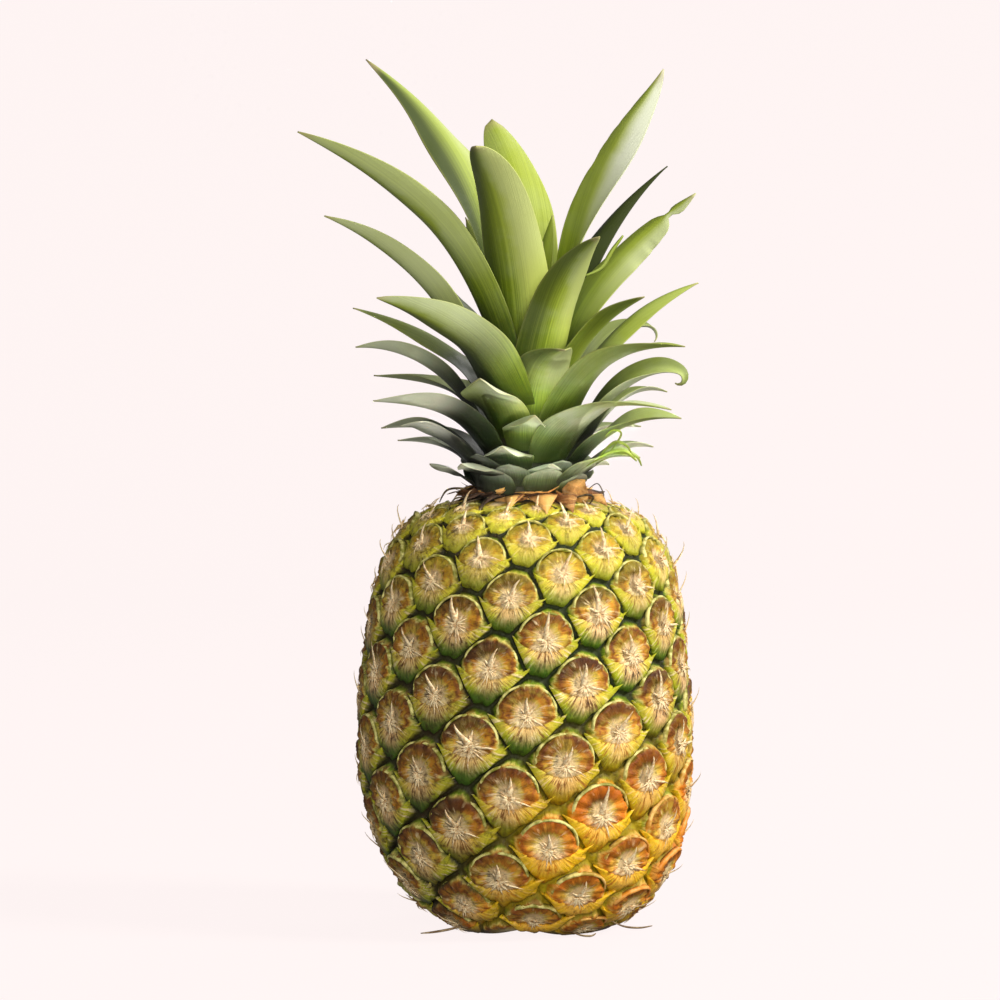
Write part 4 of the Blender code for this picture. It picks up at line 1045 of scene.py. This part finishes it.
def scatter_tree():
    """Geometry Nodes that set a chance shape on each point and turn it to face out of the fruit."""
    tree = bpy.data.node_groups.new("shapes_on_eyes", "GeometryNodeTree")
    inputs = {
        "Points": "NodeSocketGeometry", "Shapes": "NodeSocketCollection", "Finish": "NodeSocketMaterial",
        "Wobble": "NodeSocketFloat", "Size Spread": "NodeSocketFloat", "Seed": "NodeSocketInt"}
    for name, kind in inputs.items():
        tree.interface.new_socket(name, in_out="INPUT", socket_type=kind)
    tree.interface.new_socket("Geometry", in_out="OUTPUT", socket_type="NodeSocketGeometry")
    given = add_node(tree, "NodeGroupInput").outputs
    shapes = add_node(tree, "GeometryNodeCollectionInfo", None, {
        "Collection": given["Shapes"], "Separate Children": True, "Reset Children": True})
    vector = {"data_type": "FLOAT_VECTOR"}
    outwards = add_node(tree, "GeometryNodeInputNamedAttribute", vector, {"Name": "outwards"})
    upwards = add_node(tree, "GeometryNodeInputNamedAttribute", vector, {"Name": "upwards"})
    size = add_node(tree, "GeometryNodeInputNamedAttribute", vector, {"Name": "size"})
    facing = add_node(tree, "FunctionNodeAxesToRotation", {"primary_axis": "Z", "secondary_axis": "Y"}, {
        0: outwards.outputs[0], 1: upwards.outputs[0]})
    least = add_node(tree, "ShaderNodeMath", {"operation": "MULTIPLY"}, {0: given["Wobble"], 1: -1.0})
    turn = add_node(tree, "FunctionNodeRandomValue", {"data_type": "FLOAT"}, {
        "Min": least.outputs[0], "Max": given["Wobble"], "Seed": given["Seed"]})
    about = add_node(tree, "ShaderNodeCombineXYZ", None, {2: turn.outputs[1]})
    euler = add_node(tree, "FunctionNodeEulerToRotation", None, {0: about.outputs[0]})
    turned = add_node(tree, "FunctionNodeRotateRotation", {"rotation_space": "LOCAL"}, {
        0: facing.outputs[0], 1: euler.outputs[0]})
    smallest = add_node(tree, "ShaderNodeMath", {"operation": "SUBTRACT"}, {0: 1.0, 1: given["Size Spread"]})
    spread = add_node(tree, "FunctionNodeRandomValue", {"data_type": "FLOAT"}, {
        "Min": smallest.outputs[0], "Max": 1.0, "Seed": given["Seed"]})
    scale = add_node(tree, "ShaderNodeVectorMath", {"operation": "SCALE"}, {
        0: size.outputs[0], "Scale": spread.outputs[1]})
    pick = add_node(tree, "FunctionNodeRandomValue", {"data_type": "INT"}, {
        "Min": 0, "Max": 99, "Seed": given["Seed"]})
    placed = add_node(tree, "GeometryNodeInstanceOnPoints", None, {
        "Points": given["Points"], "Instance": shapes.outputs[0], "Pick Instance": True,
        "Instance Index": pick.outputs[2], "Rotation": turned.outputs[0], "Scale": scale.outputs[0]})
    real = add_node(tree, "GeometryNodeRealizeInstances", None, {0: placed.outputs[0]})
    painted = add_node(tree, "GeometryNodeSetMaterial", None, {
        "Geometry": real.outputs[0], "Material": given["Finish"]})
    add_node(tree, "NodeGroupOutput", None, {0: painted.outputs[0]})
    return tree


def scatter(name, tree, points, shapes, material, wobble, spread, seed):
    """One piece made of shapes set on points, each point with its place, directions, size and tones."""
    places, outwards, upwards, size, tones = points
    mesh = bpy.data.meshes.new(name + "_points")
    mesh.from_pydata(places.tolist(), [], [])
    put_attribute(mesh, "outwards", outwards)
    put_attribute(mesh, "upwards", upwards)
    put_attribute(mesh, "size", size)
    put_attribute(mesh, "eye_tone", tones)
    holder = bpy.data.objects.new(name + "_holder", mesh)
    bpy.context.scene.collection.objects.link(holder)
    group = bpy.data.collections.new(name + "_shapes")
    for shape in shapes:
        group.objects.link(shape)
    modifier = holder.modifiers.new("scatter", "NODES")
    modifier.node_group = tree
    given = {"Shapes": group, "Finish": material, "Wobble": wobble, "Size Spread": spread, "Seed": seed}
    for item in tree.interface.items_tree:
        if item.in_out == "INPUT" and item.name in given:
            modifier[item.identifier] = given[item.name]
    made = bpy.data.meshes.new_from_object(holder.evaluated_get(bpy.context.evaluated_depsgraph_get()))
    for used in list(shapes) + [holder]:
        bpy.data.objects.remove(used, do_unlink=True)
    bpy.data.collections.remove(group)
    co = np.empty(len(made.vertices) * 3, np.float32)
    made.vertices.foreach_get("co", co)
    made.vertices.foreach_set("co", keep_in_box(co.reshape(-1, 3)).ravel().astype(np.float32))
    made.name = name
    made.shade_smooth()
    ride(bpy.data.objects.new(name, made))


def eye_points(barrel, eyes, tones):
    """Places, directions, sizes and tones of the eyes on the fruit."""
    chosen = on_fruit(barrel, eyes)
    turn, u, _, half = eyes[chosen].T
    fade = barrel.fade(u)
    places = to_metres(barrel.place(turn, u, (fade - 1.0) * 1.4))
    tr, tz = barrel.read(barrel.tr, u), barrel.read(barrel.tz, u)
    outwards = np.stack((tz * np.sin(turn), -tz * np.cos(turn), -tr), -1)
    upwards = np.stack((tr * np.sin(turn), -tr * np.cos(turn), tz), -1)
    size = np.stack((half / FULL_EYE * MM,) * 3, -1)
    high = smooth((barrel.read(barrel.z, u) - TALLER_FROM) / TALLER_RUN)
    size[:, 2] *= (0.25 + 0.75 * fade) * (1.0 + TALLER * high)
    return places, outwards, upwards, size, tones[chosen]


def stem_radius(height):
    radii, heights = zip(*STEM[3:])
    return float(np.interp(height, heights, radii))


def crown_shape(number):
    """The measures of one leaf of the crown, by its number from the lowest up."""
    root_height = ROOT_LOW + (ROOT_HIGH - ROOT_LOW) * (number / (LEAVES - 1)) ** ROOT_CROWDING
    own = {key: float(np.interp(number, RULE_AT, row)) for key, row in RULE.items()}
    own.update(OWN_SHAPE.get(number, {}))
    own["width"] *= 1.0 + WIDER * float(hill(number, WIDEST_LEAF, WIDER_SPREAD))
    turn = LEAF_START + LEAF_TURN * number + math.radians(own.get("turn", 0.0))
    if number >= BACK_FROM and math.cos(turn) < 0.0:
        own["droop"] = BACK_DROOP
    own.update(FINE_SHAPE.get(number, {}))
    return LeafShape(turn, root_height, stem_radius(root_height) + ROOT_OUT, own)


class LeafShape:
    """The measures of one leaf."""

    def __init__(self, turn, root_height, root_radius, own):
        self.turn, self.root_height, self.root_radius = turn, root_height, root_radius
        self.reach, self.height, self.width = own["reach"], own["height"], own["width"]
        self.sway, self.twist = math.radians(own.get("sway", 0.0)), math.radians(own.get("twist", 0.0))
        self.root_slope, self.tip_slope = math.radians(own["root_slope"]), math.radians(own["tip_slope"])
        self.curl = math.radians(own.get("curl", 0.0))
        self.blunt, self.droop = own.get("blunt", 1.0), own.get("droop", 0.0)
        self.nibbled, self.notch = own.get("nibbled", 0.0), own.get("notch", 0.0)

    def spine(self, steps):
        """Points (radius, height) along the midrib."""
        root = Vector((self.root_radius, self.root_height))
        tip = Vector((self.reach, self.height))
        span = (tip - root).length
        leaving = root + ROOT_HANDLE * span * Vector((math.cos(self.root_slope), math.sin(self.root_slope)))
        arriving = tip - TIP_HANDLE * span * Vector((math.cos(self.tip_slope), math.sin(self.tip_slope)))
        line = np.array([tuple(p) for p in interpolate_bezier(root, leaving, arriving, tip, steps + 1)])
        moves = np.diff(line, axis=0)
        for i, move in enumerate(moves):
            angle = self.curl * max(0.0, ((i + 1) / steps - CURL_FROM) / (1.0 - CURL_FROM)) ** 1.5
            c, s = math.cos(angle), math.sin(angle)
            moves[i] = (c * move[0] - s * move[1], s * move[0] + c * move[1])
        return np.concatenate((line[:1], line[0] + np.cumsum(moves, axis=0)))

    def half_width(self, t):
        base = ROOT_WIDTH + (1.0 - ROOT_WIDTH) * smooth(t / FULL_WIDTH_AT)
        taper = 1.0 - np.maximum(0.0, (t - TAPER_FROM) / (1.0 - TAPER_FROM)) ** TAPER_POWER
        notch = 1.0 - self.notch * hill(t, NOTCH_AT, NOTCH_HALF)
        return np.maximum(self.width * base * notch * np.maximum(taper, 0.0) ** self.blunt, 0.3) / 2.0


def blade_points(shape, rng, steps, columns):
    """Points on both sides of a leaf, thick at its midrib and thin at its edges, which wave a little."""
    t = np.linspace(0.0, 1.0, steps + 1)[:, None]
    w = np.sin(np.linspace(-1.0, 1.0, columns + 1) * math.pi / 2.0)[None, :]
    line = shape.spine(steps)
    r, z = line[:, 0][:, None], line[:, 1][:, None]
    along = np.gradient(line, axis=0)
    along /= np.linalg.norm(along, axis=1)[:, None]
    ar, az = along[:, 0][:, None], along[:, 1][:, None]
    widest = WRAP_AT_ROOT + (WRAP_FURTHER - WRAP_AT_ROOT) * smooth(t / WRAP_GROWS)
    half = np.minimum(shape.half_width(t), widest * r)
    tears = np.interp(t, np.linspace(0.0, 1.0, TEARS), rng.uniform(-1.2, 1.0, TEARS))
    tears = tears * smooth((t - TEARS_FROM) / TEARS_RUN)
    torn_side = w < 0.0 if math.cos(shape.turn) < 0.0 else w > 0.0
    trim = 1.0 - shape.nibbled * np.maximum(tears, 0.0) * torn_side * np.abs(w)
    twist = shape.twist * smooth(t / TWIST_GROWS)
    fold = LEAF_FOLD * smooth((r - FOLD_BEGINS) / FOLD_RUNS) * (1.0 - shape.droop * smooth(t / 0.5))
    gutter = 0.5 * (np.sqrt(w * w + 0.03) - 0.17) + 0.5 * w * w
    phase, waves = rng.uniform(0.0, 6.0), rng.uniform(9.0, 15.0)
    wave = 0.35 * np.abs(w) ** 3 * np.sin(t * waves + w * 0.8 + phase) * smooth(t * 3.0)
    lift = gutter * fold * half + w * half * np.sin(twist) + wave * (half / 9.0)
    turn = shape.turn + shape.sway * t * t + w * trim * half * np.cos(twist) / r
    thick = (EDGE_THICKNESS + (MIDRIB_THICKNESS - EDGE_THICKNESS) * (1.0 - w * w) * (1.0 - 0.6 * t)) / 2.0
    thick = np.minimum(thick, 0.25 + half * 0.1)
    sides = []
    for way in (1.0, -1.0):
        rr, zz = r - az * (lift + way * thick), z + ar * (lift + way * thick)
        sides.append(np.stack((rr * np.sin(turn), -rr * np.cos(turn), zz + 0.0 * w), -1).reshape(-1, 3))
    at = np.zeros((2, steps + 1, columns + 1, 3))
    middle = sides[0].reshape(steps + 1, columns + 1, 3)[steps * 3 // 5, :, 0]
    at[..., 0], at[..., 1], at[..., 2] = w * math.copysign(1.0, middle[-1] - middle[0]), t, half / 10.0
    at[1, ..., 2] *= -1.0
    return np.concatenate(sides), at.reshape(-1, 3)


def blade_faces(steps, columns, first=0):
    """The faces of a leaf made by blade_points, whose points begin at a number."""
    across = columns + 1
    count = (steps + 1) * across
    faces = []
    for j in range(steps):
        for i in range(columns):
            a = first + j * across + i
            b, c, d = a + 1, a + across + 1, a + across
            faces.append((a, d, c, b))
            faces.append((count + a, count + b, count + c, count + d))
    border = shell_border(across, steps + 1)
    for i, here in enumerate(border):
        a, b = first + here, first + border[(i + 1) % len(border)]
        faces.append((a, b, count + b, count + a))
    return faces


def crown_leaf(number, materials):
    """One leaf of the crown, in place of its solid."""
    rng = np.random.default_rng(LEAF_SEED + number)
    places, at = blade_points(crown_shape(number), rng, LEAF_STEPS, LEAF_COLUMNS)
    young = number >= LEAVES * YOUNG_FROM
    slot = "young_leaf" if young else "old_leaf"
    node = f"leaf_{number + 1:02d}"
    faces = blade_faces(LEAF_STEPS, LEAF_COLUMNS)
    piece = new_piece("crown_" + node, places, faces, materials[slot], (node,))
    put_attribute(piece.data, "leaf_at", at)
    own = FINE_SHAPE.get(number, {})
    # The mark sets the painted shade over the whole leaf; the paint sets its shares of painted shade,
    # painted light and painted sheen
    tone = (number / (LEAVES - 1.0), rng.uniform(), own.get("mark", PLAIN_MARK))
    put_attribute(piece.data, "leaf_tone", [tone] * len(places))
    put_attribute(piece.data, "leaf_paint", [own.get("paint", PLAIN_PAINT)] * len(places))


def foot_scales(material):
    """Short broad leaves pressed to the foot of the crown's stem, which hide its bark."""
    rng = np.random.default_rng(SCALE_SEED)
    places, at, faces, tones = [], [], [], []
    for number in range(FOOT_SCALES):
        root_height = SCALE_LEVEL + SCALE_RISE * number
        own = {
            "reach": rng.uniform(*SCALE_REACH),
            "height": root_height + rng.uniform(*SCALE_HEIGHT),
            "root_slope": SCALE_ROOT_SLOPE,
            "tip_slope": rng.uniform(*SCALE_TIP_SLOPE),
            "width": rng.uniform(*SCALE_WIDTH),
            "blunt": SCALE_BLUNT,
            "droop": SCALE_DROOP,
        }
        turn = LEAF_TURN * number + SCALE_START
        shape = LeafShape(turn, root_height, stem_radius(root_height) + SCALE_OUT, own)
        points, here = blade_points(shape, rng, SCALE_STEPS, SCALE_COLUMNS)
        faces += blade_faces(SCALE_STEPS, SCALE_COLUMNS, len(places))
        places += points.tolist()
        at += (here * (1.0, SCALE_ALONG, 1.0)).tolist()
        tones += [(0.0, rng.uniform(), SCALE_MARK)] * len(points)
    piece = new_piece("foot_scales", places, faces, material)
    put_attribute(piece.data, "leaf_at", at)
    put_attribute(piece.data, "leaf_tone", tones)


def turned_piece(name, outline, sides, material, replaced, tone, wobble=0.0):
    """A closed piece turned round the Z axis, its outline running up from the axis and back to it."""
    places = [(0.0, 0.0, outline[0][1])]
    faces = []
    for radius, height in outline[1:-1]:
        for i in range(sides):
            turn = 2.0 * math.pi * i / sides
            r = radius * (1.0 + wobble * math.sin(5.0 * turn + height))
            places.append((r * math.sin(turn), -r * math.cos(turn), height))
    places.append((0.0, 0.0, outline[-1][1]))
    last = len(places) - 1
    for i in range(sides):
        after = (i + 1) % sides
        faces.append((0, 1 + after, 1 + i))
        for ring in range(len(outline) - 3):
            a, b = 1 + ring * sides + i, 1 + ring * sides + after
            faces.append((a, b, b + sides, a + sides))
        top = 1 + (len(outline) - 3) * sides
        faces.append((top + i, top + after, last))
    piece = new_piece(name, places, faces, material, replaced)
    put_attribute(piece.data, "leaf_at", np.zeros((len(places), 3)))
    put_attribute(piece.data, "dry_tone", np.full((len(places), 3), tone))


def neck_leaflets(material):
    """Withered leaflets matted round the crown's foot, lying out over the fruit's shoulder."""
    rng = np.random.default_rng(LEAFLET_SEED)
    places, faces, at, tones = [], [], [], []
    for number in range(NECK_LEAFLETS):
        turn = LEAF_TURN * number + rng.uniform(-0.2, 0.2)
        length, width = rng.uniform(*LEAFLET_LENGTH), rng.uniform(*LEAFLET_WIDTH)
        level = LEAFLET_LEVEL + rng.uniform(*LEAFLET_LIFT)
        curled, aside = rng.uniform(*LEAFLET_CURL), rng.uniform(-0.3, 0.3)
        path = []
        for t in LEAFLET_STEPS:
            r = LEAFLET_ROOT + length * t
            height = level - rng.uniform(0.7, 1.0) * 2.6 * t * t + curled * max(t - 0.5, 0.0) ** 2 * 4.0
            sway = turn + aside * t * t
            path.append((r * math.sin(sway), -r * math.cos(sway), height + 1.2 * math.sin(3.0 * t)))
        side = (math.cos(turn), math.sin(turn), rng.uniform(-0.9, 0.9))
        widths = [width * share for share in LEAFLET_TAPER]
        first = len(places)
        add_blade(places, faces, at, path, widths, side, 0.6)
        tones += [rng.uniform() ** 1.5] * (len(places) - first)
    for root, tip, width, tone in NECK_TRIANGLES:
        root, tip = Vector(root), Vector(tip)
        path = [root.lerp(tip, t) + Vector((0.0, 0.0, 1.6 * math.sin(math.pi * t))) for t in TRIANGLE_STEPS]
        widths = [width * share for share in TRIANGLE_TAPER]
        first = len(places)
        add_blade(places, faces, at, path, widths, (1.0, 0.0, 0.1), 0.8)
        tones += [tone] * (len(places) - first)
    piece = new_piece("neck_leaflets", places, faces, material)
    put_attribute(piece.data, "leaf_at", at)
    put_attribute(piece.data, "dry_tone", np.stack((tones,) * 3, -1))


def strands(name, routes, material):
    """Thin strands and torn strips along smooth routes, each widest in the middle."""
    places, faces, at = [], [], []
    for width, route in routes:
        points = [Vector(p) for p in route]
        path = []
        for i in range(len(points) - 1):
            before, here = points[max(i - 1, 0)], points[i]
            there, after = points[i + 1], points[min(i + 2, len(points) - 1)]
            leaving, arriving = here + (there - before) / 6.0, there - (after - here) / 6.0
            path += interpolate_bezier(here, leaving, arriving, there, 7)[(1 if i else 0):]
        last = len(path) - 1
        shares = [math.sin(math.pi * (0.08 + 0.84 * i / last)) for i in range(last + 1)]
        widths = [width * (0.15 + 0.85 * share) for share in shares]
        add_blade(places, faces, at, path, widths, (0.3, -0.9, 0.4), width * 0.8)
    piece = new_piece(name, places, faces, material)
    at = [(0.4, 0.35 + 0.5 * share, 0.1) for share, _, _ in at]
    put_attribute(piece.data, "leaf_at", at)
    put_attribute(piece.data, "leaf_tone", [STRAND_LEAF_TONE] * len(places))
    put_attribute(piece.data, "dry_tone", [STRAND_DRY_TONE] * len(places))


def stage():
    """A pale floor that runs up into a backdrop, soft studio lights and the camera."""
    sheet = bpy.data.meshes.new("floor_and_backdrop")
    profile = [(FLOOR_FRONT, 0.0), (FLOOR_BACK, 0.0)]
    for i in range(1, SWEEP_STEPS + 1):
        angle = math.radians(90.0 * i / SWEEP_STEPS)
        out, up = SWEEP_RADIUS * math.sin(angle), SWEEP_RADIUS - SWEEP_RADIUS * math.cos(angle)
        profile.append((FLOOR_BACK + out, up))
    profile.append((FLOOR_BACK + SWEEP_RADIUS, BACKDROP_TOP))
    places = [(side * STAGE_HALF_WIDTH, y, z) for y, z in profile for side in (-1, 1)]
    faces = [(2 * i, 2 * i + 1, 2 * i + 3, 2 * i + 2) for i in range(len(profile) - 1)]
    sheet.from_pydata(places, [], faces)
    base = tuple(FLOOR_SHADE * c for c in FLOOR[:3]) + (1.0,)
    constants = {
        "Base Color": base, "Emission Color": FLOOR, "Emission Strength": FLOOR_GLOW,
        "Specular IOR Level": 0.0}
    sheet.materials.append(Finish("pale_floor", 1.0, constants).material)
    sheet.shade_smooth()
    floor = bpy.data.objects.new("floor_and_backdrop", sheet)
    floor.visible_diffuse = False
    floor.visible_glossy = False
    bpy.context.scene.collection.objects.link(floor)

    for name, place, power, size, tint, aim, spread in LIGHTS:
        light = bpy.data.lights.new(name, "AREA")
        light.energy, light.size, light.color, light.spread = power, size, tint, math.radians(spread)
        lamp = bpy.data.objects.new(name, light)
        lamp.location = place
        lamp.rotation_euler = (Vector((0.0, 0.0, aim)) - Vector(place)).to_track_quat("-Z", "Y").to_euler()
        bpy.context.scene.collection.objects.link(lamp)

    world = bpy.data.worlds.new("studio")
    world.use_nodes = True
    world.node_tree.nodes["Background"].inputs["Color"].default_value = WORLD_COLOUR
    world.node_tree.nodes["Background"].inputs["Strength"].default_value = WORLD_STRENGTH
    bpy.context.scene.world = world
    bpy.context.scene.view_settings.view_transform = "Standard"

    camera = bpy.data.cameras.new("camera")
    view = bpy.data.objects.new("camera", camera)
    middle = IMAGE_SIDE / 2.0
    target = Vector(((middle - AXIS_PX) * METRES_PER_PX, 0.0, (BASE_PX - middle) * METRES_PER_PX))
    rise = math.radians(CAMERA_RISE)
    view.location = target + CAMERA_AWAY * Vector((0.0, -math.cos(rise), math.sin(rise)))
    view.rotation_euler = (target - view.location).to_track_quat("-Z", "Y").to_euler()
    camera.sensor_width = SENSOR
    camera.lens = SENSOR * CAMERA_AWAY / (IMAGE_SIDE * METRES_PER_PX)
    bpy.context.scene.collection.objects.link(view)
    bpy.context.scene.camera = view


def main():
    barrel = Barrel(OUTLINE)
    eyes = eyes_on(barrel)
    tones = np.random.default_rng(TONE_SEED).uniform(size=(len(eyes), 3))
    fruit_skin(barrel, eyes, tones)
    tree = scatter_tree()
    points = eye_points(barrel, eyes, tones)
    eye_bracts(barrel, eyes, tones)
    rims = [rim_shape(f"rim_shape_{i}", i) for i in range(RIM_SHAPES)]
    scatter("eye_rims", tree, points, rims, rim_finish(), RIM_WOBBLE, RIM_SPREAD, RIM_SEED)
    spikes = [spike_shape(f"spike_shape_{i}", i) for i in range(SPIKE_SHAPES)]
    scatter("eye_spikes", tree, points, spikes, paper_finish(), SPIKE_WOBBLE, SPIKE_SPREAD, SPIKE_SEED)

    stalk = dry_finish("cut_stalk_wood", colour(120, 84, 46), colour(196, 160, 100), scale=300.0)
    turned_piece("cut_stalk_end", STALK_OUTLINE, 96, stalk, ("cut_stalk",), tone=0.5)
    stem = dry_finish("stem_bark", colour(40, 42, 16), colour(104, 100, 44), scale=260.0)
    turned_piece("stem_core", STEM, 64, stem, ("crown_stem",), tone=0.14, wobble=0.012)
    dry = dry_finish("dry_leaflet", colour(126, 74, 26), colour(232, 176, 96), scale=180.0)
    neck_leaflets(dry)
    wiry = dry_finish("wiry_strand", colour(58, 44, 26), colour(150, 128, 84), scale=240.0)
    strands("neck_strands", STRANDS, wiry)
    straw = dry_finish("base_spike", colour(120, 92, 60), colour(206, 184, 140), scale=240.0)
    strands("base_spikes", BASE_SPIKES, straw)

    materials = {name: leaf_finish(name) for name in ("young_leaf", "old_leaf")}
    for number in range(LEAVES):
        crown_leaf(number, materials)
    foot_scales(materials["old_leaf"])
    strands("torn_strips", TORN_STRIPS, materials["young_leaf"])
    stage()


main()
